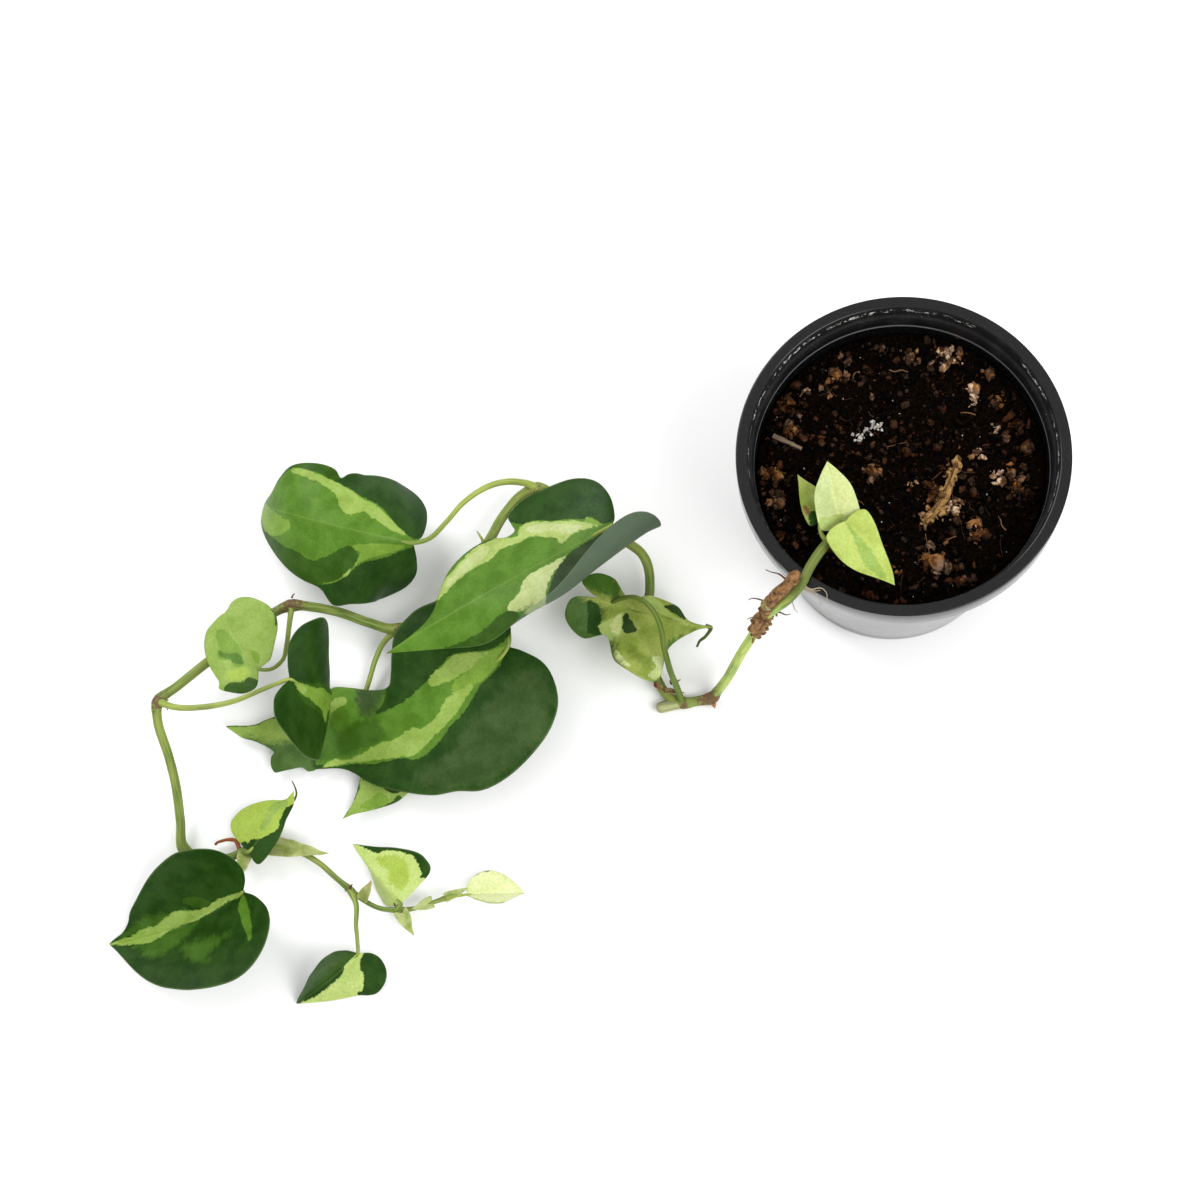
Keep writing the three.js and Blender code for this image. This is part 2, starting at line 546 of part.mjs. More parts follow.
// The blade's own directions at u, its share of the length: along, to the left, and out of the face.
function bladeFrame(leaf, u) {
  const end = THREE.MathUtils.clamp((u - 0.7) / 0.3, 0, 1) ** 2;
  const pitch = radians(leaf.pitch - (leaf.droop ?? 0) * THREE.MathUtils.clamp(u, 0, 2));
  const heading = radians(leaf.heading + (leaf.sweep ?? 0) * u + (leaf.hookTurn ?? 0) * end);
  const roll = radians(leaf.roll ?? 0);
  const along = new THREE.Vector3(
    Math.cos(heading) * Math.cos(pitch),
    Math.sin(heading) * Math.cos(pitch),
    Math.sin(pitch),
  );
  const level = new THREE.Vector3(-Math.sin(heading), Math.cos(heading), 0);
  const upright = new THREE.Vector3().crossVectors(along, level);
  const left = level.clone().multiplyScalar(Math.cos(roll)).addScaledVector(upright, Math.sin(roll));
  const out = upright.clone().multiplyScalar(Math.cos(roll)).addScaledVector(level, -Math.sin(roll));
  return { along, left, out };
}

// The line that the midrib follows, as a function of u.
function bladeSpine(leaf) {
  const first = -0.6;
  const last = 1.2;
  const steps = 180;
  const step = (last - first) / steps;
  const points = [new THREE.Vector3()];
  for (let i = 0; i < steps; i += 1) {
    const { along } = bladeFrame(leaf, first + (i + 0.5) * step);
    points.push(points[i].clone().addScaledVector(along, step * leaf.length));
  }
  const origin = points[Math.round(-first / step)].clone();
  return (u) => {
    const place = THREE.MathUtils.clamp((u - first) / step, 0, steps - 1e-6);
    const i = Math.floor(place);
    return points[i].clone().lerp(points[i + 1], place - i).sub(origin).add(vector(leaf.base));
  };
}

// Where the margin runs on one side at s, from 0 at the stalk to 1 at the tip.
function margin(leaf, side, s) {
  const drawn = leaf.drawn ? ofSide(leaf.drawn, side) : null;
  if (drawn) {
    const [along, across] = splinePair(drawn, s * (drawn.length - 1));
    return [along * leaf.length, across * leaf.width / 2];
  }
  const lobe = ofSide(leaf.lobe ?? 1, side);
  const extra = (leaf.fullness ?? 0.5) - 0.5;
  const shares = HEART.map(([x, y], i) => [
    (x < 0 ? x * lobe : x) + (leaf.belly ?? 0) * BELLY_SHARES[i],
    y + extra * FULLNESS_SHARES[i],
  ]);
  const [x, y] = splinePair(shares, s * (HEART.length - 1));
  const nicked = (leaf.nicks ?? []).reduce((left, [at, place, breadth, depth]) => (
    at === side ? left * (1 - depth * Math.exp(-(((s - place) / breadth) ** 2))) : left
  ), 1);
  return [x * leaf.length, y * nicked * leaf.width * (1 + side * (leaf.skew ?? 0))];
}

// A point of the blade's middle layer and the direction out of its face there.
function bladePoint(leaf, spine, side, s, w) {
  const [marginAlong, marginAcross] = margin(leaf, side, s);
  const ribAlong = leaf.length * s ** MIDRIB_POWER;
  const u = (ribAlong + (marginAlong - ribAlong) * w) / leaf.length;
  const across = marginAcross * w;
  const frame = bladeFrame(leaf, u);
  const halfWidth = leaf.width / 2;
  const rise = radians(atStation(ofSide(leaf.rise ?? 0, side), u));
  const curl = radians(atStation(ofSide(leaf.curl ?? 0, side), u)) / halfWidth || 1e-6;
  const flat = atStation(ofSide(leaf.flat ?? 0, side), u) * halfWidth;
  const straight = Math.min(across, flat);
  const angle = rise + curl * Math.max(across - flat, 0);
  const reach = straight * Math.cos(rise) + (Math.sin(angle) - Math.sin(rise)) / curl;
  const lift = straight * Math.sin(rise) - (Math.cos(angle) - Math.cos(rise)) / curl;
  const point = spine(u).addScaledVector(frame.left, side * reach).addScaledVector(frame.out, lift);
  const tilt = w === 0 ? 0 : angle;
  const face = frame.out.multiplyScalar(Math.cos(tilt)).addScaledVector(frame.left, -side * Math.sin(tilt));
  return { point, face };
}

// A thin closed blade: an upper and a lower skin with the same triangles, and a strip round the margin.
function blade(leaf, rows, columns, thickness = BLADE_THICKNESS) {
  const spine = bladeSpine(leaf);
  const positions = [];
  const place = ({ point, face }) => {
    const upper = point.clone().addScaledVector(face, thickness / 2);
    const lower = point.clone().addScaledVector(face, -thickness / 2);
    positions.push(upper.x, upper.y, upper.z, lower.x, lower.y, lower.z);
    return positions.length / 6 - 1;
  };
  const grid = [];
  for (let i = 0; i <= rows; i += 1) {
    const s = i / rows;
    if (i === 0 || i === rows) {
      grid.push(new Array(2 * columns + 1).fill(place(bladePoint(leaf, spine, LEFT, s, 0))));
      continue;
    }
    const row = [];
    for (let j = -columns; j <= columns; j += 1) {
      row.push(place(bladePoint(leaf, spine, j < 0 ? RIGHT : LEFT, s, Math.abs(j) / columns)));
    }
    grid.push(row);
  }
  const faces = [];
  const upper = (i, j) => 2 * grid[i][j];
  const triangle = (a, b, c) => {
    if (a === b || b === c || a === c) return;
    faces.push(a, b, c, a + 1, c + 1, b + 1);
  };
  for (let i = 0; i < rows; i += 1) {
    for (let j = 0; j < 2 * columns; j += 1) {
      triangle(upper(i, j), upper(i + 1, j), upper(i + 1, j + 1));
      triangle(upper(i, j), upper(i + 1, j + 1), upper(i, j + 1));
    }
    for (const [j, turn] of [[0, 1], [2 * columns, 0]]) {
      const [a, b] = turn ? [upper(i, j), upper(i + 1, j)] : [upper(i + 1, j), upper(i, j)];
      faces.push(a, a + 1, b + 1, a, b + 1, b);
    }
  }
  return solidOf(geometryFrom(positions, faces));
}

// The stem with its swollen joints. Growth is the room left round it where another piece grips it.
function stemSolid(growth) {
  const route = smoothCurve(VINE_ROUTE);
  const count = Math.round(route.getLength() / STEM_STEP);
  const joints = VINE_NODES.map(vector);
  const points = lengthen(route.getSpacedPoints(count), growth);
  const radii = points.map((point, i) => {
    const plain = between(STEM_RADIUS, i / count);
    const nearest = Math.min(...joints.map((joint) => joint.distanceTo(point)));
    return plain * (1 + NODE_SWELLING * Math.exp(-((nearest / NODE_LENGTH) ** 2))) + growth;
  });
  return solidOf(bar(points, radii, STEM_SIDES));
}

// The vine: its stem, the roots and the cut stub that grow from it, and its sheaths.
function vineSolid(growth) {
  let solid = stemSolid(growth);
  for (const { route, radii } of VINE_TWIGS) {
    solid = solid.add(taperedBar(route, route.length + 1, ...radii, STALK_SIDES, growth));
  }
  for (const sheath of SHEATHS) {
    const width = sheath.width + 2 * growth;
    const length = sheath.length + 2 * growth;
    const shape = { ...sheath, width, length, lobe: 0, rise: [25, 25], curl: [20, 20] };
    solid = solid.add(blade(shape, 5, 1, BLADE_THICKNESS + 2 * growth));
  }
  return largestBody(solid);
}

function leafMesh(leaf, vineWithRoom) {
  const rows = leaf.fine ? 22 : (leaf.drawn ? 16 : 11);
  const columns = leaf.fine ? 4 : 2;
  const route = leaf.fromBelow ? [...leaf.stalk] : [...leaf.stalk, leaf.base];
  const inside = bladeSpine(leaf)(0.07);
  route.push([inside.x, inside.y, inside.z]);
  const count = Math.max(3, Math.round(smoothCurve(route).getLength() / 6));
  const stalk = taperedBar(route, count, leaf.stalkRadius * 1.25, leaf.stalkRadius * 0.75, STALK_SIDES);
  const solid = blade(leaf, rows, columns).add(stalk).subtract(vineWithRoom);
  return named(leaf.name, geometryOf(largestBody(solid)), leaf.colour, 0.35);
}

// The pot is turned: base, outer wall, hollow rim band, flat rim, lip, inner wall and floor.
function potMesh() {
  const rimTop = POT_HEIGHT;
  const bandFoot = POT_HEIGHT - RIM_BAND;
  const lipFoot = POT_HEIGHT - 5;
  const rimUnderside = POT_HEIGHT - 1.4;
  const profile = [
    [0, 0],
    [BASE_RADIUS, 0],
    [WALL_TOP_RADIUS, bandFoot],
    [WALL_TOP_RADIUS + 1, rimUnderside],
    [RIM_RADIUS - 1.2, rimUnderside],
    [RIM_RADIUS - 1.2, bandFoot],
    [RIM_RADIUS, bandFoot],
    [RIM_RADIUS, rimTop],
    [RIM_RADIUS - RIM_LIP, rimTop],
    [RIM_RADIUS - RIM_LIP - 0.5, rimUnderside],
    [RIM_RADIUS - RIM_LIP - 0.7, lipFoot],
    [WALL_TOP_RADIUS - WALL, lipFoot - 1],
    [BASE_RADIUS - WALL, POT_FLOOR],
    [0, POT_FLOOR],
  ];
  const turned = new THREE.LatheGeometry(profile.map(([r, z]) => new THREE.Vector2(r, z)), POT_SIDES);
  let solid = solidOf(turned.rotateX(Math.PI / 2));
  for (let i = 0; i < DRAIN_HOLES; i += 1) {
    const angle = (2 * Math.PI * (i + 0.5)) / DRAIN_HOLES;
    const hole = new THREE.CylinderGeometry(DRAIN_RADIUS, DRAIN_RADIUS, 4 * POT_FLOOR, 8);
    hole.rotateX(Math.PI / 2);
    hole.translate(DRAIN_CIRCLE * Math.cos(angle), DRAIN_CIRCLE * Math.sin(angle), 0);
    solid = solid.subtract(solidOf(hole));
  }
  return named('pot', geometryOf(solid), 'pot', 0.25);
}

// A repeatable number from 0 to 1 for a pair of whole numbers.
function scatter(i, j) {
  const value = Math.sin(i * 127.1 + j * 311.7 + SOIL_SEED) * 43758.5453;
  return value - Math.floor(value);
}

// Height of the soil at ring i and sector j: a low mound with crumbs, level where it meets the pot.
function soilHeight(share, i, j) {
  const mound = SOIL_MOUND * Math.cos((share * Math.PI) / 2);
  const crumbs = share < 1 ? SOIL_CRUMB * Math.min(1, 2 * share) * (scatter(i, j) - 0.5) : 0;
  return POT_HEIGHT - SOIL_DEPTH_BELOW_RIM + mound + crumbs;
}

function soilMesh(cutters) {
  const wallRadius = (z) => THREE.MathUtils.mapLinear(
    z, POT_FLOOR, POT_HEIGHT - 6, BASE_RADIUS - WALL, WALL_TOP_RADIUS - WALL,
  ) - CLEARANCE - 0.2;
  const edge = wallRadius(POT_HEIGHT - SOIL_DEPTH_BELOW_RIM);
  const floor = POT_FLOOR + CLEARANCE;
  const positions = [0, 0, soilHeight(0, 0, 0)];
  for (let i = 1; i <= SOIL_RINGS; i += 1) {
    for (let j = 0; j < SOIL_SECTORS; j += 1) {
      const share = i / SOIL_RINGS;
      const loose = i < SOIL_RINGS ? 0.5 * (scatter(j, i + 40) - 0.5) : 0;
      const angle = (2 * Math.PI * (j + 0.5 * (i % 2) + loose)) / SOIL_SECTORS;
      const reach = edge * share;
      positions.push(reach * Math.cos(angle), reach * Math.sin(angle), soilHeight(share, i, j));
    }
  }
  const half = 0.5 * (SOIL_RINGS % 2);
  for (let j = 0; j < SOIL_SECTORS; j += 1) {
    const angle = (2 * Math.PI * (j + half)) / SOIL_SECTORS;
    positions.push(wallRadius(floor) * Math.cos(angle), wallRadius(floor) * Math.sin(angle), floor);
  }
  positions.push(0, 0, floor);
  const ring = (i, j) => 1 + (i - 1) * SOIL_SECTORS + ((j + SOIL_SECTORS) % SOIL_SECTORS);
  const bottom = positions.length / 3 - 1;
  const faces = [];
  for (let j = 0; j < SOIL_SECTORS; j += 1) {
    faces.push(0, ring(1, j), ring(1, j + 1));
    for (let i = 1; i < SOIL_RINGS; i += 1) {
      const [a, b, c, d] = [ring(i, j), ring(i, j + 1), ring(i + 1, j), ring(i + 1, j + 1)];
      if (i % 2) faces.push(a, d, b, a, c, d);
      else faces.push(a, c, b, b, c, d);
    }
    const [a, b] = [ring(SOIL_RINGS, j), ring(SOIL_RINGS, j + 1)];
    const [c, d] = [ring(SOIL_RINGS + 1, j), ring(SOIL_RINGS + 1, j + 1)];
    faces.push(a, c, d, a, d, b, bottom, d, c);
  }
  let solid = solidOf(geometryFrom(positions, faces));
  for (const [place, size] of PERLITE) {
    const lump = new THREE.IcosahedronGeometry(size, 0);
    lump.scale(1, 1, 0.7);
    lump.translate(...place);
    solid = solid.add(solidOf(lump));
  }
  for (const cutter of cutters) solid = solid.subtract(cutter);
  return named('soil', geometryOf(largestBody(solid)), 'soil', 0.95);
}

// A piece of litter on the soil and the room that it takes up there.
function litter(name, route, radius, colour) {
  const piece = named(name, geometryOf(taperedBar(route, 4, radius, radius * 0.7, 6)), colour, 0.9);
  const room = taperedBar(route, 4, radius, radius * 0.7, 6, 1.3 * CLEARANCE);
  return { piece, room };
}

// The old wood and the root clump below it: knobbly brown growth that grips the stem.
function oldWoodMesh(vineWithRoom) {
  const stub = smoothCurve(OLD_WOOD_ROUTE).getSpacedPoints(7);
  const stubRadii = stub.map((_, i) => OLD_WOOD_RADIUS * (1 - 0.18 * scatter(i, 3)) * (i < 1 ? 0.75 : 1));
  let solid = solidOf(bar(stub, stubRadii, 7));
  const clump = smoothCurve(CLUMP_ROUTE).getSpacedPoints(6);
  const clumpRadii = clump.map((_, i) => CLUMP_RADIUS * (1 - 0.2 * scatter(i, 7)));
  solid = solid.add(solidOf(bar(clump, clumpRadii, 8)));
  for (let i = 0; i < CLUMP_ROOTS; i += 1) {
    const start = clump[1 + (i % 5)];
    const angle = 2.4 * i;
    const reach = CLUMP_ROOT_REACH * (0.75 + 0.35 * scatter(i, 11));
    const sideways = new THREE.Vector3(Math.cos(angle), Math.sin(angle), 0.3 - 0.8 * scatter(i, 13));
    const tip = start.clone().addScaledVector(sideways.normalize(), reach);
    solid = solid.add(solidOf(bar([start, tip], [1.3, 0.5], 4)));
  }
  return named('old_wood_and_roots', geometryOf(largestBody(solid.subtract(vineWithRoom))), 'bark', 0.85);
}

const plant = new THREE.Group();
const vineWithRoom = vineSolid(CLEARANCE);
const twig = litter('twig', TWIG_ROUTE, TWIG_RADIUS, 'twig');
const bark = litter('bark_strip', BARK_ROUTE, BARK_RADIUS, 'bark');

plant.add(potMesh());
plant.add(soilMesh([vineWithRoom, twig.room, bark.room]));
plant.add(twig.piece);
plant.add(bark.piece);
plant.add(named('vine', geometryOf(vineSolid(0)), 'stem', 0.45));
plant.add(oldWoodMesh(vineWithRoom));
for (const leaf of LEAVES) plant.add(leafMesh(leaf, vineWithRoom));

export default plant;
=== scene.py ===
# A potted cream splash philodendron: one trailing vine rooted in a black nursery pot.
# Sizes are in millimetres and angles in degrees, and every piece is scaled to metres when its
# mesh is made. The origin is the centre of the pot's base, +Z is up, and the vine lies along
# the surface that the pot stands on.

import json
import math

import bpy
import numpy as np
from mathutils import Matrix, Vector

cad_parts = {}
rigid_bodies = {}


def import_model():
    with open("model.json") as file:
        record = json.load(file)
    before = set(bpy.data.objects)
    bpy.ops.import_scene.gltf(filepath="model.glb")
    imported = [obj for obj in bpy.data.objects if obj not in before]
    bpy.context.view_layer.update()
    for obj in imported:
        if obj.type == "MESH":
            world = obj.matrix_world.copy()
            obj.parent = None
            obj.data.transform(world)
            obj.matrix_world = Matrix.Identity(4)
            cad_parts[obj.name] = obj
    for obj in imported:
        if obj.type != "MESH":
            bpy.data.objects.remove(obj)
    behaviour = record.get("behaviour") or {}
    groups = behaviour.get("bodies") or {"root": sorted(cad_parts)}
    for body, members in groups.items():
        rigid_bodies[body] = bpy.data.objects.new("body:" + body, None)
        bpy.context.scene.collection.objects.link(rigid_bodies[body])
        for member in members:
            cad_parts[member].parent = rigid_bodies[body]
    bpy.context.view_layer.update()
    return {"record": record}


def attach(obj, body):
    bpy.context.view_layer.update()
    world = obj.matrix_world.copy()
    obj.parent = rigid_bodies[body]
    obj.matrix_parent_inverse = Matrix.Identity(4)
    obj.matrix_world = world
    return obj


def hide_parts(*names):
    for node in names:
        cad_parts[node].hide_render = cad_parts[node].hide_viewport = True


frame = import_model()

MM = 0.001
LEFT = 1
RIGHT = -1
BODY = "root"

# The photograph's camera, in metres and degrees
CAMERA_PLACE = (-0.0385, -0.2087, 0.761)
CAMERA_TURN = (13.729, 4.89, 0)
CAMERA_LENS = 66


# Meshes and curves

def smoothstep(value, low, high):
    t = np.clip((value - low) / (high - low), 0, 1)
    return t * t * (3 - 2 * t)


def linked(name, data):
    made = bpy.data.objects.new(name, data)
    bpy.context.scene.collection.objects.link(made)
    return made


def add_piece(name, parts, material, slot, *replaces):
    """One smooth mesh object from parts, each its points in millimetres, faces and named values."""
    points = np.vstack([part[0] for part in parts])
    faces = []
    first = 0
    for part in parts:
        faces += [tuple(first + corner for corner in face) for face in part[1]]
        first += len(part[0])
    mesh = bpy.data.meshes.new(name)
    mesh.from_pydata((points * MM).tolist(), [], faces)
    for field in parts[0][2]:
        values = np.concatenate([part[2][field] for part in parts]).astype(np.float32)
        kind, key = ("FLOAT", "value") if values.ndim == 1 else ("FLOAT_VECTOR", "vector")
        mesh.attributes.new(field, kind, "POINT").data.foreach_set(key, values.ravel())
    mesh.polygons.foreach_set("use_smooth", [True] * len(mesh.polygons))
    mesh.materials.append(material)
    piece = linked(name, mesh)
    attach(piece, BODY)
    if replaces:
        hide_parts(*replaces)
    return piece


def lengths_along(points):
    steps = np.linalg.norm(np.diff(points, axis=0), axis=1)
    return np.concatenate([[0], np.cumsum(steps)])


def curve_points(route, spacing):
    """Evenly spaced points on the centripetal Catmull-Rom curve through a route, and their places."""
    route = np.asarray(route, float)
    ends = np.vstack([2 * route[0] - route[1], route, 2 * route[-1] - route[-2]])
    t = np.linspace(0, 1, 24, endpoint=False)[:, None]
    fine = []
    for a, b, c, d in zip(ends, ends[1:], ends[2:], ends[3:]):
        gaps = [max(np.linalg.norm(q - p), 1e-6) ** 0.5 for p, q in ((a, b), (b, c), (c, d))]
        start = (b - a) / gaps[0] - (c - a) / (gaps[0] + gaps[1]) + (c - b) / gaps[1]
        stop = (c - b) / gaps[1] - (d - b) / (gaps[1] + gaps[2]) + (d - c) / gaps[2]
        start, stop = start * gaps[1], stop * gaps[1]
        bend = -3 * b + 3 * c - 2 * start - stop
        twist = 2 * b - 2 * c + start + stop
        fine.append(b + start * t + bend * t**2 + twist * t**3)
    fine = np.vstack([*fine, route[-1:]])
    lengths = lengths_along(fine)
    count = max(3, round(lengths[-1] / spacing))
    places = np.linspace(0, lengths[-1], count + 1)
    return np.stack([np.interp(places, lengths, fine[:, k]) for k in range(3)], -1), places


def full_turn(sides):
    """The angles, the cosines and the sines of the corners of a ring."""
    angles = 2 * math.pi * np.arange(sides) / sides
    return angles, np.cos(angles), np.sin(angles)


def ring_faces(count, sides):
    """Faces between rings of corners, and to the two middle points that follow the last ring."""
    last = (count - 1) * sides
    faces = []
    for k in range(sides):
        nxt = (k + 1) % sides
        faces += [(i + k, i + nxt, i + sides + nxt, i + sides + k) for i in range(0, last, sides)]
        faces += [(last + sides, nxt, k), (last + sides + 1, last + k, last + nxt)]
    return faces


def bar(points, radii, sides, tint=0.0, seed=0.0):
    """A round bar along points. radii holds one radius for each point, or one for each corner."""
    points = np.asarray(points, float)
    count = len(points)
    radii = np.broadcast_to(np.reshape(radii, (count, -1)), (count, sides))
    tangents = np.gradient(points, axis=0)
    tangents /= np.linalg.norm(tangents, axis=1)[:, None]
    angles, cosines, sines = full_turn(sides)
    across = np.cross((0.3, 0.2, 1), tangents[0])
    rings = []
    for point, tangent, reach in zip(points, tangents, radii):
        across = across - tangent * (across @ tangent)
        across /= np.linalg.norm(across)
        ring = np.outer(cosines, across) + np.outer(sines, np.cross(tangent, across))
        rings.append(point + ring * reach[:, None])
    turn = np.tile(angles, count)
    along = np.repeat(lengths_along(points), sides)
    grain = np.stack([1.6 * np.cos(turn) + seed, 1.6 * np.sin(turn), 0.05 * along], -1)
    tints = np.repeat(np.broadcast_to(tint, count), sides)
    fields = {"grain": np.vstack([grain, grain[:1], grain[-1:]]), "tint": np.append(tints, tints[[0, -1]])}
    return np.vstack([*rings, points[:1], points[-1:]]), ring_faces(count, sides), fields


def lattice(points, seed):
    """A repeatable random value from -1 to 1 that changes smoothly with place (3-D value noise)."""
    cell = np.floor(points).astype(np.int64)
    f = points - cell
    f = f * f * (3 - 2 * f)
    total = np.zeros(len(points))
    for corner in np.ndindex(2, 2, 2):
        x, y, z = (cell + corner).T
        hashed = np.sin(x * 127.1 + y * 311.7 + z * 74.7 + seed * 53.3) * 43758.5453
        share = np.prod(np.where(np.array(corner) == 1, f, 1 - f), axis=1)
        total += share * (hashed - np.floor(hashed))
    return 2 * total - 1


def drift(points, scale, shift, seed):
    """A wandering step in each of the three directions."""
    return np.stack([lattice(points * scale + shift * k, seed + k) for k in range(3)], -1)


def rough_corners(places, sides, reach, climb, seed):
    """Four scales of noise round a bar, for each corner at each place along it."""
    _, cosines, sines = full_turn(sides)
    circle = np.stack([cosines, sines, 0 * cosines], -1) * reach
    rows = [circle + (0, 0, climb * place) for place in places]
    return np.stack([sum(lattice(row * 2.0**k, seed + k) / 2**k for k in range(4)) for row in rows])


def tapered(route, first, last, sides=10, tint=0.0, curl=0.0, seed=0):
    """A thin piece along a route that tapers and may wander from it."""
    points, places = curve_points(route, 0.5)
    share = places / places[-1]
    if curl:
        points = points + drift(points, 0.45, 9, seed) * (curl * smoothstep(share, 0, 0.3))[:, None]
    radii = (first + (last - first) * share) * (1 + 0.1 * lattice(points * 1.3, seed))
    return bar(points, radii, sides, tint=tint, seed=seed)


# Node materials

def colour(code):
    """Linear colour of six sRGB hexadecimal digits."""
    shares = [int(code[k:k + 2], 16) / 255 for k in (0, 2, 4)]
    linear = [s / 12.92 if s <= 0.04045 else ((s + 0.055) / 1.055) ** 2.4 for s in shares]
    return (*linear, 1)


class Shader:
    """A node material with short ways to add the nodes that the plant needs."""

    def __init__(self, name, **constants):
        self.material = bpy.data.materials.new(name)
        self.material.use_nodes = True
        self.tree = self.material.node_tree
        self.surface = self.tree.nodes["Principled BSDF"]
        for socket, value in constants.items():
            self.surface.inputs[socket.replace("_", " ")].default_value = value

    def node(self, kind, inputs, output=0, **settings):
        made = self.tree.nodes.new(f"ShaderNode{kind}")
        for key, value in settings.items():
            setattr(made, key, value)
        for key, value in inputs.items():
            if isinstance(value, bpy.types.NodeSocket):
                self.tree.links.new(value, made.inputs[key])
            else:
                made.inputs[key].default_value = colour(value) if isinstance(value, str) else value
        return made.outputs[output]

    def field(self, name, output="Fac"):
        return self.node("Attribute", {}, output, attribute_name=name)

    def position(self):
        """The place on the piece at rest, in millimetres."""
        place = self.node("TexCoord", {}, "Object")
        return self.node("VectorMath", {0: place, 3: 1 / MM}, operation="SCALE")

    def parts(self, vector):
        return self.node("SeparateXYZ", {0: vector}).node.outputs

    def maths(self, operation, a, b=0.0):
        return self.node("Math", {0: a, 1: b}, operation=operation)

    def product(self, first, *others):
        for other in others:
            first = self.maths("MULTIPLY", first, other)
        return first

    def stretch(self, vector, scale):
        return self.node("VectorMath", {0: vector, 1: scale}, operation="MULTIPLY")

    def noise(self, vector, scale, detail=3.0, roughness=0.5):
        inputs = {"Vector": vector, "Scale": scale, "Detail": detail, "Roughness": roughness}
        return self.node("TexNoise", inputs, "Fac")

    def ramp(self, value, low, high, start=0.0, stop=1.0):
        inputs = {"Value": value, "From Min": low, "From Max": high, "To Min": start, "To Max": stop}
        return self.node("MapRange", inputs, interpolation_type="SMOOTHSTEP")

    def mix(self, share, a, b, blend="MIX"):
        return self.node("Mix", {0: share, 6: a, 7: b}, 2, data_type="RGBA", blend_type=blend)

    def paint(self, value, socket="Base Color"):
        self.tree.links.new(value, self.surface.inputs[socket])

    def bump(self, height, distance, strength=1.0):
        inputs = {"Height": height, "Distance": distance * MM, "Strength": strength}
        self.paint(self.node("Bump", inputs, "Normal"), "Normal")


# Leaves

# Half of a heart-shaped blade from the stalk round the lobe to the tip, as shares of the blade's
# length and width. Fullness above 0.5 widens it towards the tip by the second list.
HEART = np.array([
    (0, 0), (-0.095, 0.085), (-0.185, 0.225), (-0.15, 0.385), (0.03, 0.49),
    (0.3, 0.465), (0.58, 0.315), (0.82, 0.125), (1, 0),
])
FULLNESS_SHARES = np.array([0, 0, 0, 0, -0.02, 0.05, 0.26, 0.22, 0])
MIDRIB_POWER = 2.2

# A rise or curl given as three numbers holds at the lobes, the middle and near the tip.
STATIONS = (-0.15, 0.35, 0.85)

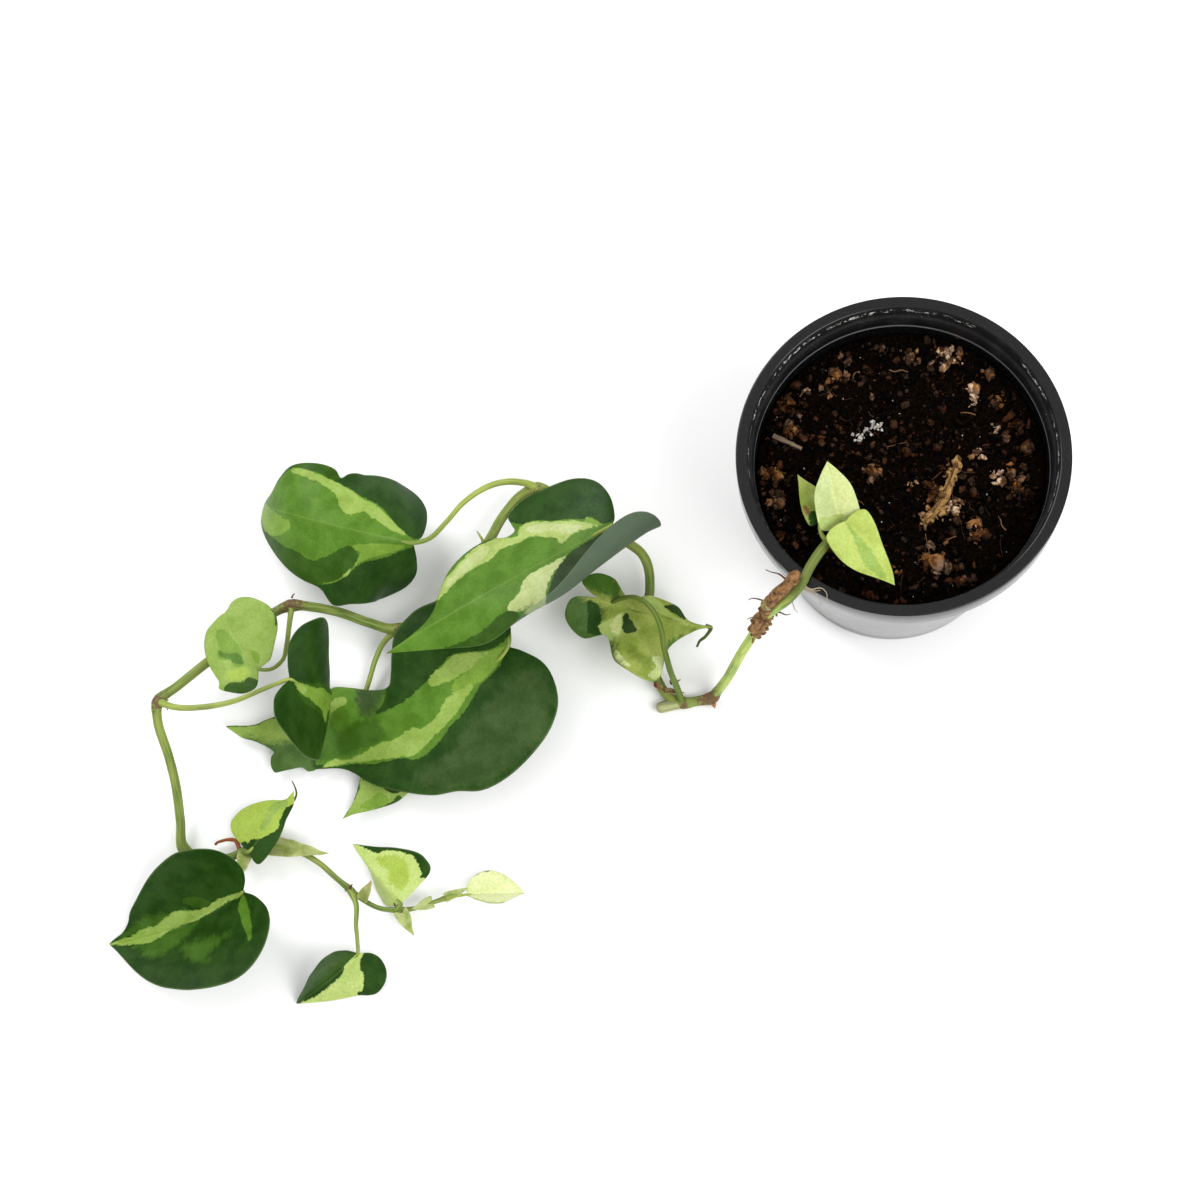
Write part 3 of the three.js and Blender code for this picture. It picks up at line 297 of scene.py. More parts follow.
# Each leaf is one blade with its stalk, in millimetres. Angles are in degrees: heading is the way
# that the blade points from its stalk, seen from above, counted from +X; sweep and droop bend it
# to the left and down along its length; rise and curl lift and bend its (left, right) halves. A
# nick is (side, place along the margin, width, depth), with a bulge where the depth is negative.
LEAVES = {
    "leaf_01_crown_cream": dict(
        base=(-19.5, -23, 97), length=20.3, width=13.8, fullness=0.9, skew=0.08, heading=104, pitch=30,
        droop=8, roll=-4, rise=(12, 12), curl=(-12, -12), lobe=0.25, from_below=True, stalk_radius=0.7,
        stalk=[(-20.5, -23, 85), (-22.5, -20.5, 89), (-22, -20, 93)],
    ),
    "leaf_02_crown_lime": dict(
        base=(-18.5, -23.5, 102), length=25.5, width=16, fullness=0.68, heading=304, pitch=9, droop=14,
        rise=(-6, -8), curl=(-14, -14), lobe=0.2, nicks=[(LEFT, 0.75, 0.15, 0.3), (RIGHT, 0.7, 0.2, -0.2)],
        from_below=True, stalk_radius=0.7,
        stalk=[(-21.5, -25, 88), (-18, -27, 92), (-17, -28, 96), (-17.5, -27, 99.5)],
    ),
    "leaf_03_crown_dull": dict(
        base=(-25.5, -20, 93), length=16, width=10, heading=119, pitch=14, droop=10, rise=(8, 8),
        curl=(-10, -10), lobe=0.2, stalk_radius=0.6,
        stalk=[(-24, -28, 93), (-26, -25.5, 94), (-26.5, -22, 93.5)],
    ),
    "leaf_04_crumpled": dict(
        base=(-97.5, -28.5, 21), length=36, width=36, heading=-20, sweep=12, pitch=-4, roll=178,
        rise=((8, -10, 0), (-10, -66, -60)), curl=((10, -10, 10), (-10, -10, -10)), stalk_radius=1,
        dark_stalk=True,
        stalk=[
            (-74.5, -60.5, 3), (-75.5, -57.5, 10), (-77.5, -53, 22), (-79, -47, 31), (-80, -40.5, 35),
            (-83, -34, 35), (-88, -29.5, 32), (-93, -28, 26.5),
        ],
    ),
    "leaf_05_folded": dict(
        base=(-96.5, -5, 36), length=90, width=52, fullness=0.62, heading=207, sweep=1, pitch=3, droop=18,
        roll=-8, lobe=(0.85, 0.3), rise=((30, 27, -4), (-8, -36, -36)), curl=((300, 262, 0), (-15, 0, 5)),
        flat=((0.25, 0.5, 0.2), 0), stalk_radius=1.1,
        stalk=[(-100.5, 0, 19), (-99.5, -1.5, 26), (-97.5, -4, 33)],
    ),
    "leaf_06_arched": dict(
        base=(-167, -6.5, 26), length=78, width=57, heading=176, sweep=-33, pitch=37, droop=111, roll=-14,
        rise=((-40, -9, -9), (-28, -33, 11)), curl=((-16, -10, -20), (-31, -23, -10)), stalk_radius=1.05,
        stalk=[
            (-124, 13.5, 22), (-127.5, 14.5, 25), (-134.5, 14, 29), (-141, 11.5, 31), (-148.5, 6, 32),
            (-154.5, -0.5, 31), (-160.5, -5.5, 28.5),
        ],
    ),
    "leaf_07_largest": dict(
        base=(-134, -43, 20), length=83.5, width=68, heading=233, sweep=-46.5, pitch=-9, droop=2,
        rise=(6, 6), curl=(-14, -14), stalk_radius=1.05,
        stalk=[(-143.5, -8, 18), (-140, -17, 19), (-136, -28, 20), (-134, -36.5, 20)],
    ),
    "leaf_08_tucked": dict(
        base=(-203, -76, 3), length=35, width=26, heading=157, sweep=15, pitch=6, droop=4, roll=4,
        rise=(5, 4), curl=(-12, -12), stalk_radius=0.9,
        stalk=[
            (-174.5, -34, 11), (-179.5, -38, 9.5), (-183, -44, 7), (-186, -52.5, 4.5),
            (-189.5, -61.5, 3.5), (-195, -69.5, 3), (-199.5, -74, 3),
        ],
    ),
    "leaf_09_hidden_lime": dict(
        base=(-179, -81.5, 4.5), length=24, width=19, fullness=0.34, skew=0.3, heading=237, sweep=-11,
        pitch=2, droop=6, rise=(4, 4), curl=(-12, -12), stalk_radius=0.8,
        stalk=[
            (-156.5, -22.5, 13), (-162.5, -37.5, 8), (-166, -51, 5), (-169, -65.5, 4), (-173.5, -74.5, 4),
        ],
    ),
    "leaf_10_round_lime": dict(
        base=(-219.5, -51.5, 30), length=27.5, width=32, heading=136, sweep=-27, pitch=-8, droop=14.5,
        roll=-10, rise=(14, 20), curl=(-12, -14), stalk_radius=0.85,
        stalk=[
            (-212, -25.5, 15), (-211.5, -34, 20), (-211, -42, 25), (-211.5, -48, 28), (-215, -51.5, 29.5),
        ],
    ),
    "leaf_11_hanging_dark": dict(
        base=(-203, -60, 52), length=46.5, width=48, fullness=0.9, heading=-18, sweep=8, pitch=-54,
        droop=64, roll=-7, lobe=0.84, rise=((14, 1, -2), (16, 4, -2)), curl=((12, -3, -18), (20, 3, -10)),
        stalk_radius=1,
        stalk=[
            (-258.5, -59.5, 15.5), (-251, -62.5, 20), (-237.5, -64.5, 30), (-224.5, -64.5, 40),
            (-213.5, -62.5, 48), (-207, -61, 51.5),
        ],
    ),
    "leaf_12_broad_dark": dict(
        base=(-227, -126, 9.5), length=53.5, width=64, heading=212, sweep=-26, pitch=-20, droop=-21,
        rise=(32, 38), curl=(12, 16), stalk_radius=1,
        stalk=[(-250, -110, 5), (-244, -117, 4.5), (-236, -123, 6)],
    ),
    "leaf_13_small_curled": dict(
        base=(-225, -112, 10), length=26.5, width=22.5, heading=48, sweep=3, pitch=18, droop=9, roll=-19,
        curl=(-8, -8), hook_turn=14, stalk_radius=0.8,
        stalk=[(-227.5, -111.5, 6), (-226.5, -112, 8.5)],
    ),
    "leaf_14_small_folded": dict(
        base=(-186.5, -147.5, 8), length=28.5, width=29.5, heading=222, sweep=-12, pitch=-18, droop=-8,
        roll=-37, rise=(16, 40), stalk_radius=0.85,
        stalk=[(-189.5, -125.5, 9), (-187, -131, 10), (-187, -137.5, 9.5), (-186.5, -143.5, 8.5)],
    ),
    "leaf_15_small_lime": dict(
        base=(-171.5, -130.5, 10.5), length=26.5, width=29.5, heading=136, sweep=-13, pitch=11, droop=14,
        roll=-39, rise=((-4, -28, -50), -13), stalk_radius=0.75,
        stalk=[(-173, -132.5, 8)],
    ),
    "leaf_16_end_pale": dict(
        base=(-148.5, -127.5, 8), length=19.5, width=16, heading=-2, sweep=6, pitch=2, droop=8, roll=-34,
        rise=(5, 27), stalk_radius=0.55,
        stalk=[(-156.5, -128.5, 6.5), (-153, -128, 7.5)],
    ),
}

# Margins of the leaves that aren't plain hearts: (left half, right half), each from the stalk round
# the lobe to the tip, as percentages of the blade's length and of half its width.
MARGINS = {
    "leaf_04_crumpled": (
        [(0, 0), (-20, 2), (-38, 20), (-36, 60), (-15, 83), (5, 64), (20, 112), (42, 136), (60, 122),
         (63, 55), (83, 13), (100, 0)],
        [(0, 0), (-20, 2), (-36, 20), (-25, 44), (-6, 46), (11, 25), (25, 42), (38, 62), (62, 44), (76, 8),
         (100, 0)],
    ),
    "leaf_05_folded": (
        None,
        [(0, 0), (-3, 12), (-5, 40), (-3, 70), (4, 93), (15, 107), (27, 117), (33.5, 108), (34, 90),
         (34, 75), (38, 73), (45, 86), (55, 83), (65, 67), (72, 42), (76, 22), (81, 9), (89, 4), (100, 0)],
    ),
    "leaf_06_arched": (
        [(0, 0), (-6, 25), (-9.5, 50), (-8, 80), (-1, 101), (10, 98), (22, 97), (31, 100), (39, 83),
         (50, 78), (62, 67), (75, 50), (87, 28), (100, 0)],
        [(0, 0), (-5, 12), (-9, 38), (-10, 62), (-7, 86), (0, 98), (14, 100), (30, 98), (40, 93), (45, 82),
         (47.5, 70), (53, 76), (62, 70), (72, 57), (77.5, 38), (83, 16), (100, 0)],
    ),
    "leaf_07_largest": (
        [(0, 0), (-2, 15), (-3, 38), (-0.5, 58), (5, 77), (13, 88), (23, 93), (34, 94), (43, 89), (50, 76),
         (58, 67), (68, 49), (77, 32), (84, 13), (90, 4), (100, 0)],
        [(0, 0), (-8, 10), (-13, 35), (-10, 60), (-2, 82), (10, 98), (20, 103), (35, 100), (44, 85),
         (50, 68), (55, 56), (64, 62), (74, 73), (85, 80), (93, 70), (99, 38), (100, 0)],
    ),
    "leaf_08_tucked": (
        [(0, 0), (-6, 20), (-5, 48), (2, 62), (10, 59), (20, 74), (30, 89), (36, 96), (42, 82), (45, 60),
         (44, 44), (55, 34), (68, 28), (80, 26), (90, 15), (97, 6), (100, 0)],
        [(0, 0), (-6, 17), (-12, 45), (-10, 77), (0, 95), (15, 97), (32, 88), (46, 68), (56, 48), (64, 32),
         (70, 19), (80, 9), (92, 4), (100, 0)],
    ),
    "leaf_09_hidden_lime": (
        None,
        [(0, 0), (-10, 12), (-17, 35), (-12, 60), (5, 70), (25, 60), (45, 40), (60, 23), (75, 11), (88, 5),
         (100, 0)],
    ),
    "leaf_10_round_lime": (
        [(0, 0), (-7, 11), (-14.5, 32), (-9, 58), (4.5, 78), (15.5, 90), (22, 81), (39, 79), (55.5, 75),
         (71, 66), (83, 52), (90, 35), (96.5, 17), (100, 0)],
        [(0, 0), (-4.5, 18), (-8, 38), (-3, 60), (4, 80), (12, 97), (23, 109), (36, 114), (50, 112),
         (64, 105), (78, 93), (91, 78), (102, 58), (108, 36), (108, 20), (103, 10), (100, 0)],
    ),
    "leaf_11_hanging_dark": (
        [(0, 0), (-8, 17), (-15.5, 45), (-13, 75), (0, 95), (15, 99), (27, 96), (35, 80), (43, 58),
         (51, 38), (59, 22), (71, 19), (84, 18), (94, 10), (100, 0)],
        None,
    ),
    "leaf_12_broad_dark": (
        [(0, 0), (-8, 15), (-14, 35), (-16, 50), (-15, 70), (-10, 95), (-2, 111), (10, 117), (25, 112),
         (40, 101), (51, 90), (62, 78), (72, 62), (81, 43), (89, 24), (95, 10), (100, 0)],
        [(0, 0), (-8, 10), (-14, 25), (-15.5, 45), (-12, 65), (-3, 80), (10, 87), (25, 86), (40, 80),
         (55, 68), (69, 51), (78, 37), (83, 23), (89, 12), (95, 6), (100, 0)],
    ),
    "leaf_13_small_curled": (
        [(0, 0), (-3, 30), (-5, 80), (-3, 115), (3, 135), (12, 137), (25, 132), (38, 117), (50, 97),
         (62, 74), (72, 48), (79, 25), (86, 10), (93, 5), (100, 0)],
        [(0, 0), (-3, 15), (-4.5, 35), (-2, 55), (8, 61), (25, 61), (40, 56), (55, 46), (66, 35), (76, 30),
         (84, 27), (90, 19), (95, 7), (100, 0)],
    ),
    "leaf_14_small_folded": (
        [(0, 0), (-6, 8), (-12, 22), (-14.5, 42), (-12, 62), (-6, 80), (3, 93), (13, 98.5), (21, 97),
         (28, 87), (34, 75), (45, 62), (60, 46), (75, 29), (88, 14), (100, 0)],
        [(0, 0), (-2, 12), (-3.5, 35), (-5, 60), (-3.5, 85), (0, 103), (8, 112), (20, 110), (35, 101),
         (50, 86), (65, 64), (80, 40), (92, 18), (100, 0)],
    ),
    "leaf_15_small_lime": (
        [(0, 0), (1, 10), (4, 22), (8, 42), (16, 60), (27, 66), (38, 58), (49, 40), (62, 22), (78, 10),
         (91, 4), (100, 0)],
        [(0, 0), (-1, 14), (-1.5, 34), (-1.5, 55), (-1.5, 76), (-1.5, 95), (0.5, 112), (6, 124), (15, 128),
         (26, 127), (37, 118), (50, 100), (62, 79), (74, 53), (86, 29), (94, 13), (100, 0)],
    ),
    "leaf_16_end_pale": (
        [(0, 0), (-5, 25), (-5, 50), (0, 80), (10, 104), (22, 122), (38, 127), (52, 118), (68, 95),
         (82, 64), (93, 30), (100, 0)],
        [(0, 0), (1, 9), (7, 27), (17, 48), (29, 70), (41, 88), (53, 96), (64, 87), (73, 64), (82, 38),
         (91, 17), (100, 0)],
    ),
}
for name, drawn in MARGINS.items():
    LEAVES[name]["drawn"] = tuple(half and np.array(half) / 100 for half in drawn)


def of_side(pair, side):
    if isinstance(pair, tuple):
        return pair[0 if side == LEFT else 1]
    return pair


def at_station(value, u):
    if not isinstance(value, tuple):
        return value + 0 * u
    to_middle = smoothstep(u, STATIONS[0], STATIONS[1])
    to_tip = smoothstep(u, STATIONS[1], STATIONS[2])
    return value[0] + (value[1] - value[0]) * to_middle + (value[2] - value[1]) * to_tip


def catmull(a, b, c, d, f):
    """A Catmull-Rom curve from b to c, at a share f of the way."""
    return b + 0.5 * ((c - a) * f + (2 * a - 5 * b + 4 * c - d) * f**2 + (3 * b - a - 3 * c + d) * f**3)


def spline(points, s):
    """The curve through a list of points, at shares s of the list."""
    t = s * (len(points) - 1)
    padded = np.vstack([2 * points[0] - points[1], points, 2 * points[-1] - points[-2]])
    i = np.clip(np.floor(t).astype(int), 0, len(points) - 2)
    return catmull(*(padded[i + k] for k in range(4)), (t - i)[:, None])


def blade_frame(leaf, u):
    """The blade's own directions at u, its share of the length: along, to the left, out of the face."""
    end = np.clip((u - 0.7) / 0.3, 0, 1) ** 2
    pitch = np.radians(leaf["pitch"] - leaf.get("droop", 0) * np.clip(u, 0, 2))
    turn = leaf.get("sweep", 0) * u + leaf.get("hook_turn", 0) * end
    heading = np.radians(leaf["heading"] + turn)
    roll = np.radians(leaf.get("roll", 0))
    flat = np.cos(pitch)
    along = np.stack([np.cos(heading) * flat, np.sin(heading) * flat, np.sin(pitch)], -1)
    level = np.stack([-np.sin(heading), np.cos(heading), 0 * u], -1)
    upright = np.cross(along, level)
    left = level * np.cos(roll) + upright * np.sin(roll)
    out = upright * np.cos(roll) - level * np.sin(roll)
    return along, left, out


def blade_spine(leaf, u):
    """Points of the line that the midrib follows, at each u."""
    first = -0.6
    last = 1.2
    steps = 180
    step = (last - first) / steps
    along = blade_frame(leaf, first + (np.arange(steps) + 0.5) * step)[0]
    points = np.vstack([np.zeros(3), np.cumsum(along * step * leaf["length"], axis=0)])
    points += np.array(leaf["base"]) - points[round(-first / step)]
    places = first + np.arange(steps + 1) * step
    return np.stack([np.interp(u, places, points[:, k]) for k in range(3)], -1)


def margin(leaf, side, s):
    """Where the margin runs on one side at s, from 0 at the stalk to 1 at the tip."""
    drawn = of_side(leaf.get("drawn"), side)
    if drawn is not None:
        return spline(drawn, s) * (leaf["length"], leaf["width"] / 2)
    x, y = HEART.T
    x = np.where(x < 0, x * of_side(leaf.get("lobe", 1), side), x)
    y = y + (leaf.get("fullness", 0.5) - 0.5) * FULLNESS_SHARES
    edge = spline(np.stack([x, y], -1), s)
    for at, place, breadth, depth in leaf.get("nicks", []):
        if at == side:
            edge[:, 1] *= 1 - depth * np.exp(-(((s - place) / breadth) ** 2))
    return edge * (leaf["length"], leaf["width"] * (1 + side * leaf.get("skew", 0)))


def blade_surface(leaf, side, s, w):
    """Points of the blade's middle layer, the direction out of its face, and the place on the flat leaf."""
    edge = margin(leaf, side, s)
    rib = leaf["length"] * s**MIDRIB_POWER
    along = rib + (edge[:, 0] - rib) * w
    across = edge[:, 1] * w
    u = along / leaf["length"]
    _, left, out = blade_frame(leaf, u)
    half = leaf["width"] / 2
    rise, curl, flat = (at_station(of_side(leaf.get(key, 0), side), u) for key in ("rise", "curl", "flat"))
    rise = np.radians(rise)
    curl = np.radians(curl) / half
    curl = np.where(np.abs(curl) < 1e-6, 1e-6, curl)
    flat = flat * half
    straight = np.minimum(across, flat)
    angle = rise + curl * np.maximum(across - flat, 0)
    reach = straight * np.cos(rise) + (np.sin(angle) - np.sin(rise)) / curl
    lift = straight * np.sin(rise) - (np.cos(angle) - np.cos(rise)) / curl
    point = blade_spine(leaf, u) + left * (side * reach)[:, None] + out * lift[:, None]
    tilt = np.where(w == 0, 0, angle)
    face = out * np.cos(tilt)[:, None] - left * (side * np.sin(tilt))[:, None]
    return point, face, np.stack([along, side * across], -1)


# The colours of the plant, each as the darker and the lighter shade that it is mottled with.
TONES = {
    "deep": ("1c320a", "2c431b"),
    "dark": ("163603", "264511"),
    "slate": ("2b4218", "3a5026"),
    "teal": ("4a5a42", "5f6d55"),
    "sage": ("3b5720", "4d6933"),
    "moss": ("335610", "41641f"),
    "forest": ("274704", "345615"),
    "mid": ("466b18", "557b27"),
    "drab": ("5f6f24", "76863a"),
    "olive": ("748532", "929e4f"),
    "fresh": ("67872c", "749436"),
    "lime": ("7c973f", "8ca551"),
    "yellow": ("90a354", "a2b567"),
    "cream": ("a2af6f", "b2be85"),
    "gold": ("91a841", "9ab14b"),
    "straw": ("96a64c", "a9b962"),
    "lemon": ("a9bd68", "b3c575"),
    "pale": ("b0ba76", "bcc585"),
    "ivory": ("c9d290", "d4daa4"),
    "dry": ("5f4528", "85683e"),
}
EDGE_WIDTHS = {"slate": 2.2, "sage": 1.8, "moss": 1.6, "drab": 1.6, "gold": 1.0, "lime": 0.3, "yellow": 0.3}

# The colour of each leaf's ground and the outlines of its coloured areas, painted in order. A
# point is (percent of the length from the stalk, percent of the half width, left of the midrib
# positive).
PATTERNS = {
    "leaf_01_crown_cream": (
        "pale",
        ("yellow", (-10, -110), (13, -110), (12, -50), (18, 10), (20, 90), (-10, 100)),
        ("cream", (20, 18), (50, 20), (75, 10), (80, 70), (50, 110), (20, 90)),
    ),
    "leaf_02_crown_lime": (
        "straw",
        ("lime", (2, -2), (25, 2), (55, 5), (72, 0), (88, -15), (74, -36), (58, -46), (44, -38), (28, -22),
         (10, -12)),
    ),
    "leaf_03_crown_dull": (
        "olive",
        ("dark", (-10, -10), (12, 10), (22, 30), (20, 70), (-10, 90)),
        ("dry", (20, 55), (30, 50), (40, 70), (24, 80)),
    ),
    "leaf_04_crumpled": (
        "olive",
        ("sage", (-50, 10), (-18, 14), (-6, 16), (-3, 40), (2, 70), (-12, 90), (-50, 110)),
        # This dark area inside the cupped lobe is painted shade.
        ("dark", (-23, 12), (-13, 12), (-5, 35), (1, 66), (-12, 68), (-17, 40)),
        ("moss", (-50, -10), (-12, -10), (3, -14), (2, -36), (-15, -60), (-50, -60)),
        ("yellow", (-5, 50), (10, 72), (16, 62), (19, 45), (13, 12), (4, 30)),
        ("pale", (6, 45), (13, 56), (16, 45), (12, 16), (7, 24)),
        ("deep", (15, 10), (20, 16), (30, 38), (28, 46), (19, 50), (14, 22)),
        ("pale", (20, 90), (28, 110), (35, 120), (29, 122), (20, 110), (17, 90)),
        ("drab", (28, 75), (38, 80), (50, 85), (52, 100), (44, 110), (34, 105)),
        ("cream", (50, 85), (58, 80), (62, 100), (58, 125), (50, 125), (55, 105)),
        ("slate", (13, 70), (17, 85), (17, 102), (28, 125), (20, 140), (5, 90)),
        ("yellow", (30, -50), (36, -30), (50, -12), (70, 2), (84, 3), (72, -6), (58, -20), (46, -50),
         (36, -62)),
        ("moss", (60, 45), (70, 32), (82, 14), (95, 6), (85, 25), (66, 60)),
        ("deep", (50, -40), (56, -28), (72, -10), (70, -36), (62, -50)),
        ("dry", (62, 130), (66, 120), (72, 110), (75, 120), (66, 140)),
    ),
    "leaf_05_folded": (
        "mid",
        ("forest", (50, 38), (62, 42), (75, 38), (87, 24), (102, 3), (90, 50), (50, 110), (44, 90),
         (46, 60)),
        ("deep", (-30, 3), (12, 5), (24, 16), (34, 50), (37, 72), (33, 110), (-30, 110)),
        ("cream", (20, 10), (30, 8), (38, 10), (43, 25), (50, 36), (46, 50), (42, 68), (44, 95), (33, 110),
         (36, 70), (33, 42), (27, 22)),
        ("moss", (40, 46), (42, 52), (46, 50), (45, 58), (41, 56)),
        ("dark", (-20, -15), (1, -6), (5, -20), (12, -38), (20, -56), (24, -70), (31, -82), (33, -110),
         (0, -120), (-20, -100)),
        ("fresh", (1, -5), (3, -12), (6, -28), (10, -24), (13, -42), (12, -30), (6, -12)),
        ("yellow", (4, -8), (9, -14), (15, -17), (20, -11), (21, -24), (24, -36), (29, -50), (34, -52),
         (42, -58), (47, -50), (56, -50), (64, -45), (72, -35), (78, -40), (60, -70), (45, -90), (35, -64),
         (31, -76), (26, -72), (19, -52), (13, -38), (8, -22)),
        ("cream", (10, -20), (17, -22), (20, -36), (27, -52), (30, -68), (24, -62), (17, -42)),
        ("cream", (46, -72), (50, -58), (62, -50), (70, -44), (60, -66), (50, -78)),
        ("forest", (42, -82), (50, -84), (60, -77), (69, -62), (74, -44), (78, -40), (70, -80), (50, -105),
         (42, -95)),
    ),
    "leaf_06_arched": (
        "mid",
        ("dark", (-2, 4), (4, 14), (10, 26), (20, 38), (25, 50), (30, 66), (38, 76), (48, 82), (60, 110),
         (0, 120), (-20, 60), (-10, 20)),
        ("forest", (23, 42), (23, 30), (27, 21), (31, 24), (37, 37), (45, 50), (52, 45), (62, 42),
         (72, 36), (82, 26), (100, 5), (80, 60), (60, 90), (44, 80), (36, 74), (29, 62)),
        ("fresh", (3, 5), (7, 17), (13, 24), (20, 35), (24, 44), (23, 28), (27, 20), (20, 13), (10, 8)),
        ("lime", (24, 44), (27, 54), (32, 68), (38, 75), (33, 71), (27, 58)),
        ("dark", (-2, -6), (6, -14), (12, -30), (20, -46), (30, -53), (38, -60), (50, -61), (47, -80),
         (40, -120), (-20, -120), (-15, -40)),
        ("lime", (3, -7), (11, -11), (18, -20), (22, -23), (25, -30), (29, -24), (33, -20), (37, -24),
         (41, -36), (47, -46), (58, -50), (70, -50), (68, -57), (50, -60), (38, -58), (30, -50), (22, -45),
         (15, -34), (9, -20)),
        ("forest", (49, -63), (60, -60), (70, -56), (76, -42), (81, -24), (90, -30), (70, -90), (48, -90)),
        ("lime", (12, -16), (20, -26), (29, -36), (34, -46), (24, -42), (16, -30)),
        ("fresh", (60, 12), (64, 26), (74, 33), (85, 26), (97, 3), (88, -4), (78, 2), (70, 5)),
    ),
    "leaf_07_largest": (
        "mid",
        ("fresh", (0, 2), (12, 3), (20, 0), (30, -10), (25, -18), (10, -15), (2, -6)),
        ("dark", (-20, 2), (0, 2), (10, 6), (20, 4), (30, 12), (40, 17), (50, 25), (57, 26), (64, 17),
         (74, 11), (80, 6), (90, 1), (102, 0), (80, 70), (40, 120), (0, 120), (-20, 80)),
        ("slate", (4, 30), (15, 24), (30, 24), (45, 36), (60, 40), (58, 58), (48, 74), (38, 86), (20, 88),
         (8, 76), (2, 52)),
        ("dark", (-20, -10), (-2, -6), (6, -14), (12, -27), (20, -40), (34, -38), (44, -35), (56, -34),
         (66, -37), (60, -45), (56, -60), (50, -120), (0, -120), (-30, -70)),
        ("slate", (57, -57), (61, -47), (67, -39), (73, -41), (74, -52), (68, -80), (60, -80)),
        ("moss", (66, -9), (80, -7), (92, -6), (102, -10), (102, -50), (92, -50), (85, -34), (75, -38),
         (68, -32)),
        ("lime", (79, -60), (87, -56), (93, -50), (94, -60), (87, -67), (80, -67)),
        ("lime", (7, -13), (12, -16), (17, -15.5), (24, -19), (31, -24), (37, -32), (33, -39), (26, -37.5),
         (20, -38.5), (14, -30)),
        ("lime", (20, -2), (26, 2), (31, 6), (36, 9), (42, 12), (50, 16), (57, 21), (62, 17), (68, 12),
         (76, 7), (84, 2), (96, 0), (92, -7), (84, -2), (76, -5), (68, -7), (64, -4), (54, -6), (50, 1),
         (42, -2), (34, -10), (26, -7)),
    ),
    "leaf_08_tucked": (
        "lime",
        ("sage", (-30, -2), (20, -2), (32, 4), (42, 15), (52, 21), (64, 20), (76, 22), (80, 60), (30, 120),
         (-30, 120)),
        ("dark", (-30, 5), (20, -3), (33, -30), (40, -60), (42, -100), (0, -120), (-30, -80)),
        ("forest", (38, -90), (50, -52), (60, -38), (67, -20), (76, -10), (90, -1), (102, 2), (90, -30),
         (60, -90)),
    ),
    "leaf_09_hidden_lime": (
        "lime",
        ("dark", (-30, -100), (30, -100), (36, -40), (30, 10), (22, 100), (-30, 100)),
        ("forest", (30, -90), (37, -50), (55, -22), (80, -10), (100, 0), (80, -60)),
        ("forest", (24, 106), (40, 96), (55, 76), (70, 52), (80, 34), (92, 14), (80, 60), (50, 115),
         (30, 135)),
        ("fresh", (36, 50), (50, 30), (70, 20), (60, 60), (40, 90)),
    ),
    "leaf_10_round_lime": (
        "lime",
        ("gold", (3, 15), (15, 20), (22, 42), (22, 60), (9, 55), (3, 35)),
        ("fresh", (17, 17), (22, 33), (33, 33), (41, 50), (51, 50), (55, 40), (67, 38), (78, 30), (75, 15),
         (61, 6), (44, 2), (30, 6)),
        ("mid", (20, 16), (27, 30), (35, 34), (44, 46), (52, 45), (42, 28), (31, 10)),
        ("fresh", (3, -8), (13, -8), (24, -14), (22, -22), (11, -26), (4, -18)),
        ("forest", (-22, 25), (-7, 20), (0, 28), (3, 46), (11, 62), (9, 90), (-22, 90)),
        ("forest", (17, -100), (24, -104), (36, -111), (49, -111), (33, -140), (11, -140)),
    ),
    "leaf_11_hanging_dark": (
        "dark",
        ("forest", (6, 2), (20, 6), (36, 16), (52, 20), (70, 20), (100, 0), (95, -25), (70, -40),
         (50, -32), (34, -26), (16, -24), (8, -12)),
        ("fresh", (3, 0), (10, 2), (20, 3), (30, 5), (40, 10), (50, 9), (70, 10), (100, 2), (90, -5),
         (70, -10), (60, -16), (56, -34), (48, -28), (42, -21), (32, -18), (20, -14), (12, -14), (6, -8)),
        ("lime", (4, -1), (12, 1), (18, -4), (16, -12), (10, -10)),
    ),
    "leaf_12_broad_dark": (
        "dark",
        ("moss", (30, 70), (45, 50), (50, 30), (40, 30), (20, 40), (12, 45), (30, 56)),
        ("moss", (36, 4), (42, 12), (50, 22), (60, 29), (70, 31), (77, 23), (75, 17), (84, 10), (70, 6),
         (56, -1), (45, 0)),
        ("moss", (40, -16), (52, -20), (58, -24), (68, -26), (76, -21), (84, -14), (92, -6), (80, -6),
         (60, -12)),
        ("mid", (0, 1), (3, 8), (6, 18), (4.5, 30), (3.5, 45), (1, 60), (0, 72), (-2.5, 70), (-3, 45),
         (-2.5, 25), (-1.5, 10)),
        ("forest", (22, -11), (30, -10), (36, -20), (39, -27), (35, -31), (28, -26)),
        ("lime", (0, 0), (3, 4), (8, 2), (14, -1), (22, -1), (30, 0), (38, 1), (48, -1), (58, 0), (65, 7),
         (73, 9), (83, 7), (92, 4), (100, 1), (92, -4), (82, -7), (74, -12), (66, -11), (57, -17),
         (47, -20), (38, -14), (28, -9), (18, -10), (12, -8), (5, -5)),
    ),
    "leaf_13_small_curled": (
        "gold",
        ("lime", (30, 10), (45, 35), (70, 40), (85, 10), (80, -8), (60, 10), (45, 5)),
        ("dark", (-10, 35), (3, 38), (6, 24), (12, 22), (19, 7), (27, -8), (35, -18), (43, -28), (52, -31),
         (60, -19), (70, -12), (80, -14), (90, -50), (20, -100), (-20, -80)),
    ),
    "leaf_14_small_folded": (
        "lemon",
        ("dark", (-30, 15), (-2, 10), (5, 16), (10, 26), (14, 42), (20, 58), (28, 68), (35, 68), (34, 100),
         (10, 120), (-30, 100)),
        ("dark", (-30, -20), (0, -8), (12, -9), (21, -5), (26, 4), (35, 9), (50, 11), (75, 11), (92, 5),
         (103, 0), (90, -50), (30, -130), (-30, -120)),
        ("slate", (17, -55), (22, -50), (28, -60), (36, -62), (30, -70), (20, -68)),
    ),
